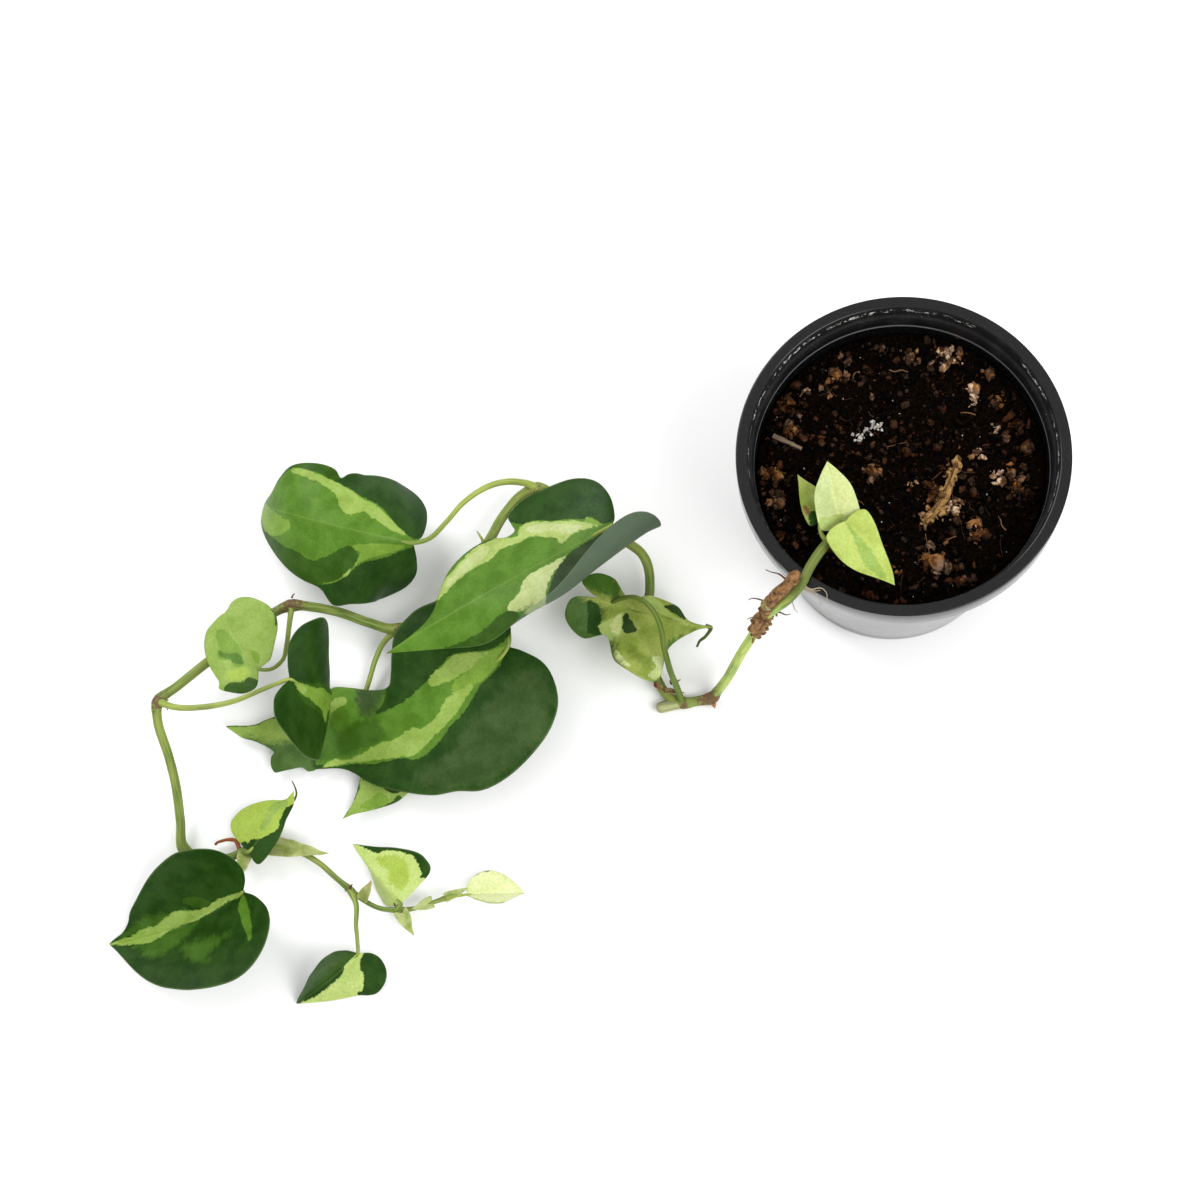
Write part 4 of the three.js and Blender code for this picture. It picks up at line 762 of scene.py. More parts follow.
    "leaf_15_small_lime": (
        "lemon",
        ("gold", (12, -25), (30, -18), (42, -34), (55, -28), (65, -32), (60, -50), (50, -75), (36, -86),
         (20, -75), (12, -50)),
        ("dark", (3, -85), (8, -95), (14, -102), (22, -107), (32, -110), (40, -102), (50, -90), (58, -76),
         (66, -55), (66, -44), (72, -36), (80, -28), (90, -16), (103, 0), (100, -50), (60, -140),
         (10, -160), (-10, -120)),
    ),
    "leaf_16_end_pale": (
        "ivory",
        ("mid", (3, 98), (10, 102), (20, 117), (33, 121), (34, 140), (10, 130), (0, 100)),
        ("yellow", (0, -2), (8, -22), (18, -42), (30, -64), (42, -82), (54, -89), (64, -80), (70, -100),
         (40, -120), (0, -60)),
    ),
}

OUTLINE_STEPS = 5
SHARP_EDGE = 0.22
BLADE_MIDDLE = 0.5
BLADE_EDGE = 0.22
RIB_HEIGHT = 0.45
RIB_WIDTH = 0.75
GROOVE_DEPTH = 0.16
VEIN_PAIRS = 7
VEIN_START = 0.6
VEIN_DEPTH = 0.03
VEIN_WIDTH = 0.011
QUILTING = 0.06
LONG_WAVE = 0.3
SHORT_WAVE = 0.16


def smooth_outline(points):
    """A closed outline rounded by a Catmull-Rom curve through its points."""
    corners = [np.roll(points, shift, axis=0) for shift in (1, 0, -1, -2)]
    rounded = [catmull(*corners, f) for f in np.arange(OUTLINE_STEPS) / OUTLINE_STEPS]
    return np.stack(rounded, axis=1).reshape(-1, 2)


def outline_distance(places, outline):
    """Distance in the plane to an outline, negative inside it."""
    best = np.full(len(places), np.inf)
    inside = np.zeros(len(places), bool)
    for (ax, ay), (bx, by) in zip(outline, np.roll(outline, -1, axis=0)):
        dx, dy = bx - ax, by - ay
        px, py = places[:, 0] - ax, places[:, 1] - ay
        t = np.clip((px * dx + py * dy) / (dx * dx + dy * dy + 1e-12), 0, 1)
        best = np.minimum(best, np.hypot(px - t * dx, py - t * dy))
        if by != ay:
            inside ^= ((ay > places[:, 1]) != (by > places[:, 1])) & (px < py * dx / dy)
    return np.where(inside, -best, best)


def leaf_material(name, ground, tones, hanging_over):
    """The blade's colours: its ground, one layer for each outline, veins, rim and underside.

    The underside is greyer, unless the blade hangs upside down and its outlines are for that side.
    """
    shader = Shader(name, Specular_IOR_Level=0.13, Subsurface_Weight=0.08, Subsurface_Scale=0.5 * MM)
    place = shader.field("place", "Vector")
    vein = shader.field("vein", "Vector")
    shade = shader.ramp(shader.noise(place, 0.11, 5.0, 0.6), 0.36, 0.64)
    wander = shader.maths("SUBTRACT", shader.noise(place, 0.5, 4.0, 0.6), 0.5)
    fibres = shader.noise(shader.stretch(vein, (70, 3, 5)), 1.0, 3.0, 0.6)
    ragged = shader.maths("ADD", wander, shader.maths("SUBTRACT", fibres, 0.5))
    shown = shader.mix(shade, *TONES[ground])
    for k, key in enumerate(tones):
        soft = EDGE_WIDTHS.get(key, SHARP_EDGE)
        edge = shader.maths("ADD", shader.field(f"area_{k}"), shader.product(ragged, 1.2 + 2.2 * soft))
        tone = shader.mix(shade, *TONES[key])
        shown = shader.mix(shader.ramp(edge, -soft, soft, 1.0, 0.0), shown, tone)
    speckle = shader.ramp(shader.noise(place, 1.3), 0.3, 0.7, 0.9, 1.08)
    shown = shader.mix(1.0, shown, speckle, "MULTIPLY")
    _, across, skin = shader.parts(place)
    s, w, _ = shader.parts(vein)
    rib = shader.ramp(shader.maths("ABSOLUTE", across), 0.1, 0.45, 0.16, 0.0)
    shown = shader.mix(rib, shown, "8ba34e")
    lines = shader.maths("PINGPONG", shader.product(s, 2.0 * VEIN_PAIRS), 0.5)
    shown = shader.mix(shader.ramp(lines, 0.0, 0.07, 0.015, 0.0), shown, "86a05c")
    shown = shader.mix(shader.ramp(w, 0.975, 0.995, 0.0, 0.22), shown, "80965f")
    if not hanging_over:
        below = shader.mix(0.6, shown, "5a6858")
        shown = shader.mix(shader.ramp(skin, -0.5, 0.5, 1.0, 0.0), shown, below)
    shader.paint(shown)
    sheen = shader.ramp(shader.noise(place, 0.8, 4.0), 0.3, 0.7, 0.36, 0.46)
    duller_below = shader.ramp(skin, -0.5, 0.5, 0.16, 0.0)
    shader.paint(shader.maths("ADD", sheen, duller_below), "Roughness")
    shader.bump(shader.noise(place, 2.2, 4.0, 0.6), 0.035, 0.6)
    return shader.material


def blade_relief(leaf, side, s, w, seed):
    """How far the blade stands out of its even form: veins, the quilting between them, and waves."""
    size = leaf["length"] / 60
    window = np.clip(w * 5, 0, 1) * np.clip((1 - w) * 5, 0, 1)
    relief = 0
    for at in (np.arange(VEIN_PAIRS) + VEIN_START) / (VEIN_PAIRS + VEIN_START):
        relief = relief - VEIN_DEPTH * np.exp(-(((s - at) / VEIN_WIDTH) ** 2)) * window
    quilt = QUILTING * np.sin(math.pi * (s * (VEIN_PAIRS + VEIN_START) + 1 - VEIN_START)) ** 2
    relief = relief + quilt * window * min(1, size)
    wave = LONG_WAVE * math.sin(seed * 3.1) * np.sin(2 * math.pi * (2.2 * s + 0.37 * seed + 0.2 * side))
    wave = wave + SHORT_WAVE * np.sin(2 * math.pi * (5.3 * s + 0.71 * seed))
    return relief + wave * w**2 * size


def blade_mesh(leaf, rows, columns, seed):
    """A thin closed blade whose skins follow the leaf's form, with its midrib and veins."""
    widths = np.linspace(0, 1, columns + 1) ** 0.85
    grid = np.zeros((rows + 1, 2 * columns + 1), int)
    table = []
    for i, share in enumerate(np.linspace(0, 1, rows + 1)):
        row = [0.0] if i in (0, rows) else [*-widths[:0:-1], *widths]
        grid[i] = len(table) + np.arange(len(row))
        table += [(share, signed) for signed in row]
    s, signed = np.array(table).T
    w = np.abs(signed)
    side = np.where(signed < 0, RIGHT, LEFT)
    total = len(table)
    middle, face = np.zeros((2, total, 3))
    flat = np.zeros((total, 2))
    relief = np.zeros(total)
    for one in (LEFT, RIGHT):
        pick = side == one
        middle[pick], face[pick], flat[pick] = blade_surface(leaf, one, s[pick], w[pick])
        relief[pick] = blade_relief(leaf, one, s[pick], w[pick], seed)
    half = BLADE_EDGE / 2 + (BLADE_MIDDLE - BLADE_EDGE) / 2 * (1 - w**3)
    fade = np.clip(1 - flat[:, 0] / leaf["length"], 0, 1) ** 0.7
    rib = np.exp(-((flat[:, 1] / RIB_WIDTH) ** 2))
    upper = middle + face * (relief + half - GROOVE_DEPTH * rib * fade)[:, None]
    lower = middle + face * (relief - half - RIB_HEIGHT * rib * fade)[:, None]
    grid = grid.tolist()
    faces = []
    for here, following in zip(grid, grid[1:]):
        for a, b, c, d in zip(here, following, following[1:], here[1:]):
            corners = list(dict.fromkeys((a, b, c, d)))
            faces += [corners, [total + corner for corner in corners[::-1]]]
        for a, b in ((here[0], following[0]), (following[-1], here[-1])):
            faces.append((a, a + total, b + total, b))
    skins = np.repeat([1.0, -1.0], total)
    place = np.column_stack([np.tile(flat, (2, 1)), skins])
    vein = np.tile(np.column_stack([s, w, side]), (2, 1))
    return np.vstack([upper, lower]), faces, {"place": place, "vein": vein}


def stalk_mesh(leaf):
    """The leaf's stalk from the vine to the underside of its blade, with a clasping foot."""
    foot = np.array([0.09])
    inside = blade_spine(leaf, foot)[0] - blade_frame(leaf, foot)[2][0] * 0.3
    base = [] if leaf.get("from_below") else [leaf["base"]]
    points, places = curve_points([*leaf["stalk"], *base, inside], 0.8)
    share = places / places[-1]
    radius = leaf["stalk_radius"] * (1.2 - 0.5 * share)
    radius = radius + 0.45 * leaf["stalk_radius"] * np.exp(-((places / 3) ** 2))
    radius = radius * (1 - 0.75 * smoothstep(share, 0.93, 1))
    return bar(points, radius, 14, tint=share, seed=leaf["length"])


def make_leaf(name, leaf, seed):
    ground, *areas = PATTERNS[name]
    rows, columns = (120, 30) if leaf["length"] > 40 else (72, 20)
    blade = blade_mesh(leaf, rows, columns, seed)
    size = np.array([leaf["length"], leaf["width"] / 2])
    fields = blade[2]
    for k, (_, *outline) in enumerate(areas):
        rounded = smooth_outline(np.array(outline) / 100) * size
        fields[f"area_{k}"] = outline_distance(fields["place"][:, :2], rounded)
    material = leaf_material(name, ground, [area[0] for area in areas], leaf.get("roll", 0) > 90)
    add_piece(f"{name}_blade", [blade], material, LEAF_SLOTS[name], name)
    material = DARK_STALK if leaf.get("dark_stalk") else STALK
    add_piece(f"{name}_stalk", [stalk_mesh(leaf)], material, "stem", name)


# The vine

VINE_ROUTE = [
    (-18, -13, 55), (-19.5, -21.5, 80), (-21.5, -25, 88), (-24, -28, 93), (-26.5, -31.5, 96.5),
    (-30, -37, 97.5), (-32.5, -42, 97.5), (-36, -45.5, 94.5), (-40, -47, 88), (-44.5, -48, 79),
    (-48, -50.5, 66), (-52.5, -52.5, 46), (-58, -55.5, 20), (-61.5, -57, 7.5), (-64, -59, 3.5),
    (-69, -60, 3), (-74.5, -60.5, 3), (-79.5, -58, 4), (-84, -50, 5), (-87, -38.5, 7),
    (-86.5, -29, 10), (-85, -22, 12), (-85.5, -13.5, 14), (-88, -9, 16), (-93.5, -5, 17),
    (-100.5, 0, 19), (-109, 6, 21), (-117.5, 11, 22), (-124, 13.5, 22), (-129.5, 11.5, 21),
    (-134, 7, 20), (-137.5, 2.5, 19), (-140.5, -3, 18.5), (-143.5, -8, 18), (-149, -15, 15.5),
    (-156.5, -22.5, 13), (-165, -29.5, 11.5), (-174.5, -34, 11), (-185, -31.5, 12), (-195, -28, 13.5),
    (-205, -26, 14.5), (-212, -25.5, 15), (-219, -28, 14), (-231, -36.5, 12.5),
    (-243, -46, 13.5), (-252, -54, 15), (-258.5, -59.5, 15.5), (-258.5, -66.5, 15),
    (-254.5, -78.5, 13.5), (-252, -88.5, 11.5), (-251, -100.5, 7), (-250, -110, 5),
    (-242.5, -113.5, 4.5), (-234, -113.5, 5), (-227.5, -111.5, 6), (-218.5, -110, 7),
    (-209.5, -111.5, 7.5), (-201, -116, 8), (-194.5, -121.5, 8.5), (-189.5, -125.5, 9),
    (-185, -129, 9), (-179, -132, 8.5), (-173, -132.5, 8), (-167, -132, 7.5),
    (-161, -130, 7), (-156.5, -128.5, 6.5),
]
VINE_NODES = [VINE_ROUTE[k] for k in (9, 14, 16, 25, 28, 33, 37, 41, 46, 51, 54, 59, 62, 65)]
STEM_SHARES = [0, 0.1, 0.2, 0.55, 0.84, 0.9, 1]
STEM_RADII = [1.6, 1.5, 1.65, 1.75, 1.6, 1.05, 0.7]
NODE_SWELLING = 0.32
NODE_LENGTH = 3
SCAR_PLACES = (-1.1, 0.9)
SCAR_HEIGHT = 0.12
SCAR_WIDTH = 0.4

# Where the stem is browner or darker than the rest: (nearest joint, length of the patch, amount).
STEM_STAINS = [(1, 5, 1.0), (2, 3, 0.5), (4, 4, 0.45), (6, 3, 0.5), (7, 5, 0.9), (8, 4, 0.8), (11, 2, 0.5)]


def vine_stem():
    points, places = curve_points(VINE_ROUTE, 0.8)
    joints = np.array(VINE_NODES, float)
    at = places[np.argmin(np.linalg.norm(points[:, None] - joints[None], axis=2), axis=0)]
    offsets = places[:, None] - at
    radius = np.interp(places / places[-1], STEM_SHARES, STEM_RADII)
    radius = radius * (1 + NODE_SWELLING * np.exp(-((np.min(np.abs(offsets), axis=1) / NODE_LENGTH) ** 2)))
    for scar in SCAR_PLACES:
        reach = np.min(np.abs(offsets - scar), axis=1)
        radius = radius + SCAR_HEIGHT * np.exp(-((reach / SCAR_WIDTH) ** 2))
    sides = 24
    angles = full_turn(sides)[0]
    ridged = 1 + 0.022 * np.sin(5 * angles)[None] + 0.012 * np.sin(11 * angles + 1)[None]
    lumpy = 1 + 0.02 * lattice(points * 0.35, 3)
    stain = np.zeros(len(points))
    for joint, length, amount in STEM_STAINS:
        stain = np.maximum(stain, amount * np.exp(-((offsets[:, joint] / length) ** 2)))
    return bar(points, (radius * lumpy)[:, None] * ridged, sides, tint=stain)


def cut_stub(route, thick):
    """The old end of a stem, rounded off where it was cut."""
    points, places = curve_points(route, 0.3)
    left = np.clip(places[-1] - places, 0, CUT_ROUNDING) / CUT_ROUNDING
    radius = thick * np.sqrt(np.clip(1 - (1 - left) ** 2, 0.04, 1))
    return bar(points, radius * (1 + 0.05 * lattice(points * 0.8, 4)), 20, tint=0.6, seed=8)


AERIAL_ROOTS = [
    (
        [(-32.5, -42, 97.5), (-29.5, -44, 97), (-27, -43.5, 97), (-25, -45, 96.5), (-24.5, -48, 96.5)],
        0.26, 0.1,
    ),
    ([(-32.5, -42, 97.5), (-30, -45, 97), (-27.5, -46, 97), (-26.5, -48.5, 96.5)], 0.26, 0.1),
    ([(-35, -44.5, 96), (-35.5, -47.5, 92), (-34, -48.5, 87)], 0.25, 0.1),
    ([(-33, -42.5, 97), (-31, -44, 96.6), (-28.5, -44.8, 97.2), (-27.2, -44.4, 97.4)], 0.22, 0.1),
]
LEAF_TAILS = [
    ([(-209.3, -95, 13), (-208.4, -92.7, 13.5), (-208.9, -90.3, 14), (-209.8, -88.3, 15)], 0.45, 0.2),
    (
        [(-65.4, -35.6, 14), (-63.7, -36.1, 13), (-64.4, -37.3, 12), (-65.9, -38.9, 11), (-67.7, -40, 10),
         (-68.8, -41.9, 9)],
        0.8, 0.4,
    ),
]
RED_ROOT = [(-229.5, -112.5, 5.5), (-231.5, -107.5, 5), (-235, -107, 4), (-239.5, -108.5, 2.5)]
THORN = [(-143.5, -8, 18), (-143.5, -4.5, 19), (-145.5, -1, 19.5)]
CUT_STUB = [(-74.5, -60.5, 3), (-79, -61.5, 3), (-83.5, -62.5, 3)]
CUT_RADIUS = 2
CUT_ROUNDING = 1.6

# Small dark nubs where roots will start: (joint, how many, reach).
NUBS = [(6, 2, 1.2), (7, 7, 1.7), (8, 5, 1.6), (10, 3, 1.2), (11, 5, 1.4), (12, 2, 1.0), (3, 2, 1.2)]


def outward():
    out = random.normal(size=3)
    return out / np.linalg.norm(out)


def vine_nubs():
    parts = []
    for joint, count, reach in NUBS:
        share = np.interp(joint, range(len(VINE_NODES)), np.linspace(0.1, 1, len(VINE_NODES)))
        stem = 0.6 * np.interp(share, STEM_SHARES, STEM_RADII)
        for _ in range(count):
            out = outward()
            start = VINE_NODES[joint] + random.normal(size=3) * 0.6 + out * stem
            tip = start + out * (stem + reach * random.uniform(0.5, 1))
            tip[2] = max(tip[2], 0.4)
            middle = (start + tip) / 2 + random.normal(size=3) * 0.2
            parts.append(tapered([start, middle, tip], 0.42, 0.16, 7, tint=1.0, seed=joint))
    return parts


# Papery sheaths at the joints: base, length, width, heading, pitch and how dry each one is.
SHEATHS = [
    ((-185, -129, 9), 8, 5, 62, 25, 0.35),
    ((-172, -132.5, 8), 10, 6, 298, -8, 0.15),
    ((-161, -130, 7), 8, 5, 200, 24, 0.1),
    ((-156.5, -128.5, 6.5), 9, 4, 22, 12, 0.1),
    ((-218.5, -110, 7), 22, 8, 352, 9, 0.2),
    ((-227, -112, 6), 8, 7, 265, 14, 0.25),
    ((-64, -59, 3.5), 4, 4, 285, 5, 1.0),
    ((-83.5, -55.1, 10), 5.5, 2.4, 332, -48, 1.0),
    ((-78.3, -54.6, 9), 4.4, 2.2, 17, -14, 1.0),
    ((-80.3, -56.8, 6), 6.7, 2.4, 356, 0, 0.9),
]


def sheath(base, length, width, heading, pitch, dryness, seed):
    leaf = dict(
        base=base, length=length, width=width, heading=heading, pitch=pitch, lobe=0.0,
        rise=(25, 25), curl=(20, 20),
    )
    points, faces, _ = blade_mesh(leaf, 30, 8, seed)
    reach = np.linalg.norm(points - np.array(base), axis=1) / length
    points = points + drift(points, 0.5, 7, seed) * (0.35 * smoothstep(reach, 0.1, 0.6))[:, None]
    return points, faces, {"grain": points * 0.3, "tint": np.full(len(points), dryness)}


# Old wood and roots

OLD_WOOD_ROUTE = [
    (-33.5, -39, 101.5), (-35.5, -41.5, 100.5), (-38, -43.5, 98), (-41, -45, 94), (-43, -46.5, 87),
    (-44, -47.5, 82),
]
OLD_WOOD_RADIUS = 1.95
WOOD_KNOT = [(-43.2, -46.4, 87.6), (-43.7, -46.6, 89.4), (-44.2, -46.8, 91.2)]
WOOD_KNOT_RADIUS = 1.8
CLUMP_ROUTE = [(-43, -47, 84), (-44.5, -48, 79), (-46.5, -49.5, 71.5), (-48, -50.5, 65)]
CLUMP_RADIUS = 3.1
CLUMP_KNOBS = 90
SIDE_ROOTS = [
    [(-36.5, -42, 98), (-38.5, -39.5, 98), (-41.5, -38, 97), (-43.5, -37.5, 96)],
    [(-42, -45.5, 86), (-45, -44, 85), (-48, -43.5, 85.5), (-49.5, -44.5, 87)],
    [(-41, -47.5, 84), (-38.5, -48.5, 85), (-36.5, -48.8, 84)],
    [(-45, -48.5, 76), (-48.5, -47, 74), (-50, -47.5, 73)],
]


def old_wood():
    points, places = curve_points(OLD_WOOD_ROUTE, 0.4)
    share = places / places[-1]
    ends = np.sqrt(np.clip(share * 9 + 0.12, 0, 1))
    radius = OLD_WOOD_RADIUS * ends * (1 + 0.05 * np.sin(share * 21))
    rough = 1 + 0.13 * rough_corners(places, 28, 1.4, 0.4, 5)
    return bar(points, radius[:, None] * rough, 28, tint=1 - share, seed=2)


def root_clump():
    core, places = curve_points(CLUMP_ROUTE, 0.4)
    share = places / places[-1]
    radius = CLUMP_RADIUS * np.clip(np.sin(math.pi * (0.08 + 0.86 * share)), 0.3, 1) ** 0.5
    rough = 0.84 + 0.2 * rough_corners(places, 28, 1.8, 0.5, 8)
    parts = [bar(core, radius[:, None] * rough, 28, tint=0.6, seed=4)]
    for _ in range(CLUMP_KNOBS):
        start = core[random.integers(3, len(core) - 3)]
        reach = outward() * (CLUMP_RADIUS * random.uniform(0.85, 1.2))
        middle = start + reach * 0.6 + random.normal(size=3) * 0.5
        tint = random.uniform(0.2, 1)
        thick = random.uniform(0.5, 1.0)
        parts.append(tapered([start, middle, start + reach], thick, thick * 0.55, 8, tint=tint, seed=3))
    return parts


# The pot

POT_HEIGHT = 95
RIM_RADIUS = 52.5
RIM_BAND = 10
RIM_LIP = 3.5
WALL_TOP_RADIUS = 48.8
BASE_RADIUS = 38.5
WALL = 1.3
POT_FLOOR = 1.5
POT_SIDES = 240
DRAIN_HOLES = 8
DRAIN_RADIUS = 3
DRAIN_CIRCLE = 31


def rounded_profile(corners, radius=0.35, steps=4):
    """The corners of a turned profile, each cut back and rounded."""
    corners = np.array(corners, float)
    shape = [corners[0]]
    for before, corner, after in zip(corners, corners[1:], corners[2:]):
        ends = []
        for other in (before, after):
            reach = np.linalg.norm(other - corner)
            ends.append(corner + (other - corner) * min(radius, reach * 0.4) / reach)
        for t in np.linspace(0, 1, steps):
            shape.append((1 - t) ** 2 * ends[0] + 2 * t * (1 - t) * corner + t**2 * ends[1])
    return [*shape, corners[-1]]


def turned(profile, sides):
    """A closed body turned about Z from a profile that starts and ends on the axis."""
    _, cosines, sines = full_turn(sides)
    rings = [np.column_stack([cosines * r, sines * r, np.full(sides, z)]) for r, z in profile[1:-1]]
    points = np.vstack([*rings, [(0, 0, profile[0][1]), (0, 0, profile[-1][1])]])
    return points, ring_faces(len(rings), sides), {}


def make_pot():
    band_foot = POT_HEIGHT - RIM_BAND
    lip_foot = POT_HEIGHT - 5
    underside = POT_HEIGHT - 1.4
    seam = 12
    seam_radius = BASE_RADIUS + (WALL_TOP_RADIUS - BASE_RADIUS) * seam / band_foot
    profile = rounded_profile([
        (0, 0), (30, 0), (30.3, 0.4), (35.5, 0.4), (35.8, 0), (BASE_RADIUS, 0),
        (seam_radius, seam), (seam_radius + 0.3, seam + 0.3), (WALL_TOP_RADIUS, band_foot),
        (WALL_TOP_RADIUS + 1, underside), (RIM_RADIUS - 1.2, underside), (RIM_RADIUS - 1.2, band_foot),
        (RIM_RADIUS, band_foot), (RIM_RADIUS, POT_HEIGHT), (RIM_RADIUS - RIM_LIP, POT_HEIGHT),
        (RIM_RADIUS - RIM_LIP - 0.5, underside), (RIM_RADIUS - RIM_LIP - 0.7, lip_foot),
        (WALL_TOP_RADIUS - WALL, lip_foot - 1), (BASE_RADIUS - WALL, POT_FLOOR), (0, POT_FLOOR),
    ])
    pot = add_piece("pot_shell", [turned(profile, POT_SIDES)], POT_PLASTIC, "pot", "pot")
    holes = bpy.data.collections.new("drain_holes")
    for i in range(DRAIN_HOLES):
        angle = 2 * math.pi * (i + 0.5) / DRAIN_HOLES
        place = (DRAIN_CIRCLE * math.cos(angle) * MM, DRAIN_CIRCLE * math.sin(angle) * MM, 0)
        bpy.ops.mesh.primitive_cylinder_add(
            vertices=32, radius=DRAIN_RADIUS * MM, depth=8 * MM, location=place
        )
        holes.objects.link(bpy.context.object)
    cut = pot.modifiers.new("drain_holes", "BOOLEAN")
    cut.operand_type = "COLLECTION"
    cut.collection = holes
    cut.solver = "EXACT"
    bpy.context.view_layer.objects.active = pot
    bpy.ops.object.modifier_apply(modifier=cut.name)
    for cutter in list(holes.objects):
        bpy.data.objects.remove(cutter)
    bpy.data.collections.remove(holes)


# The soil

SOIL_DEPTH_BELOW_RIM = 15.5
SOIL_MOUND = 3.5
SOIL_RINGS = 110
SOIL_SECTORS = 330
CLEARANCE = 0.5
CRUMBS = 1900
FIBRES = 36

# Clusters of bark and clods on the soil: (x, y, reach, how many, how pale they are from 0 to 1).
CLODS = [
    (-20.7, 31, 6.5, 46, 0.75), (3.9, 37.3, 3.6, 22, 0.8), (16.4, 36.9, 5, 40, 0.95),
    (24, 25.7, 2.2, 16, 1.0), (28.6, 31.1, 2.2, 12, 0.85), (-35, 22.8, 5.7, 36, 0.6),
    (-29.7, 26.6, 1, 4, 0.75), (-33.7, 12.6, 4.3, 26, 0.65), (26, 3.3, 2.6, 22, 1.05),
    (33.5, 9.2, 1.7, 10, 0.8), (40.6, 5.2, 3, 20, 0.7), (36.5, -4.7, 5, 44, 0.65),
    (31.1, -6, 1.2, 5, 0.95), (10.3, -9.3, 3.2, 22, 0.55), (16.6, -14.8, 3.6, 30, 0.9),
    (23.5, -21.8, 4.3, 30, 0.8), (-40.6, -0.3, 4.3, 34, 0.8), (-40, -9.6, 5, 36, 0.7),
    (-9.1, -1.9, 3.6, 30, 0.7), (10.2, -32, 5, 40, 0.7), (17.2, -38.1, 3, 16, 0.55),
    (-2.8, -34.7, 1.7, 8, 0.6), (31.8, 20.8, 2.9, 16, 0.6), (38.1, 14.5, 3.6, 20, 0.55),
    (38.4, -10, 4.3, 18, 0.5), (-33, -23.5, 5.7, 22, 0.4), (-16.8, 38, 2.9, 14, 0.6),
    (-6.4, 40, 2.9, 12, 0.55), (-12, 14, 7, 18, 0.45), (6, 8, 9, 14, 0.4),
]
WHITE_PERLITE = 3
PERLITE_LUMPS = 8
WHITE_GRAINS = 40
BARK_FLAKES = 110

# Single pebbles and larger clods: (x, y, size, how pale).
PEBBLES = [
    (31.1, -6, 1.5, 1.2), (-29.7, 26.6, 1.1, 0.95), (10.2, -32, 2.6, 0.85), (13.5, -33.5, 1.9, 0.75),
    (7, -30.5, 1.6, 0.7), (26, 3.3, 1.5, 1.25), (24, 25.7, 1.5, 1.15), (23.6, 23.5, 1.1, 1.2),
    (-2.8, -34.7, 1.3, 0.85), (16.6, -15.5, 1.4, 1.15), (15, -13, 1.2, 1.1), (35, -3, 1.8, 0.7),
    (38, -5, 1.6, 0.75), (-20, 32, 1.7, 0.75), (-22.5, 29.5, 1.4, 0.8), (-9, -2, 1.6, 0.7),
    (-9.6, -5, 1.4, 0.75), (40, 6, 1.7, 0.65), (-39, -2, 1.5, 0.85), (6.4, -16.8, 1.3, 0.95),
    (8, -15, 1.1, 0.9), (18, 36, 1.4, 1.0), (14.5, 38, 1.2, 1.05), (33.5, 9, 1.1, 0.95),
    (-12, 28, 1.2, 0.6), (2, 20, 1.3, 0.5), (-25, 8, 1.4, 0.55), (22, -33, 1.5, 0.55),
]
# Perlite: (x, y, size). The first few are white lumps, the others pale brown.
PERLITE = [
    (-10.5, 11.5, 2.4), (-7, 13, 1.7), (-13, 9.5, 1.6), (24, 22, 1.5), (30.5, -3, 1.7), (-22, 25.5, 1.4),
    (3, -6.5, 1.4), (31, 12, 1.6),
]
TWIG_ROUTE = [(-40.5, 11.5, 81), (-36, 9, 81.5), (-31.5, 6.5, 82)]
BARK_ROUTE = [(7, -19.5, 83.5), (12.5, -13, 84), (15.5, -6, 84), (18, 0.5, 84)]


def wall_radius(z):
    share = (z - POT_FLOOR) / (POT_HEIGHT - 6 - POT_FLOOR)
    return BASE_RADIUS - WALL + (WALL_TOP_RADIUS - BASE_RADIUS) * share - CLEARANCE


SOIL_EDGE = wall_radius(POT_HEIGHT - SOIL_DEPTH_BELOW_RIM)
LITTER_EDGE = SOIL_EDGE - 1.2


def soil_height(x, y):
    """Height of the soil: a low mound with lumps and hollows, level where it meets the pot."""
    share = np.hypot(x, y) / SOIL_EDGE
    flat = np.stack([x, y, 0 * x], -1)
    lumps = 1.5 * lattice(flat * 0.16, 11) + 0.9 * lattice(flat * 0.42, 12)
    grains = 0.5 * lattice(flat * 1.0, 13) + 0.28 * lattice(flat * 2.1, 14)
    settle = np.clip((1 - share) * 6, 0, 1)
    mound = SOIL_MOUND * np.cos(np.clip(share, 0, 1) * math.pi / 2)
    return POT_HEIGHT - SOIL_DEPTH_BELOW_RIM + mound - 0.6 + (0.75 * lumps + grains) * settle


def make_soil():
    _, cosines, sines = full_turn(SOIL_SECTORS)
    reach = np.repeat(np.linspace(0, 1, SOIL_RINGS + 1)[1:], SOIL_SECTORS)
    x = reach * np.tile(cosines, SOIL_RINGS) * SOIL_EDGE
    y = reach * np.tile(sines, SOIL_RINGS) * SOIL_EDGE
    floor = POT_FLOOR + 0.3
    foot = wall_radius(floor)
    foot = np.column_stack([cosines * foot, sines * foot, np.full(SOIL_SECTORS, floor)])
    middles = [(0, 0, soil_height(np.zeros(1), np.zeros(1))[0]), (0, 0, floor)]
    points = np.vstack([np.column_stack([x, y, soil_height(x, y)]), foot, middles])
    faces = [(face[0], *face[:0:-1]) for face in ring_faces(SOIL_RINGS + 1, SOIL_SECTORS)]
    add_piece("soil_bed", [(points, faces, {})], SOIL, "soil", "soil")


def ball():
    """The points and faces of a round lump of radius 1."""
    bpy.ops.mesh.primitive_ico_sphere_add(subdivisions=2, radius=1)
    made = bpy.context.object
    points = np.array([v.co for v in made.data.vertices])
    faces = [tuple(p.vertices) for p in made.data.polygons]
    bpy.data.objects.remove(made)
    return points, faces


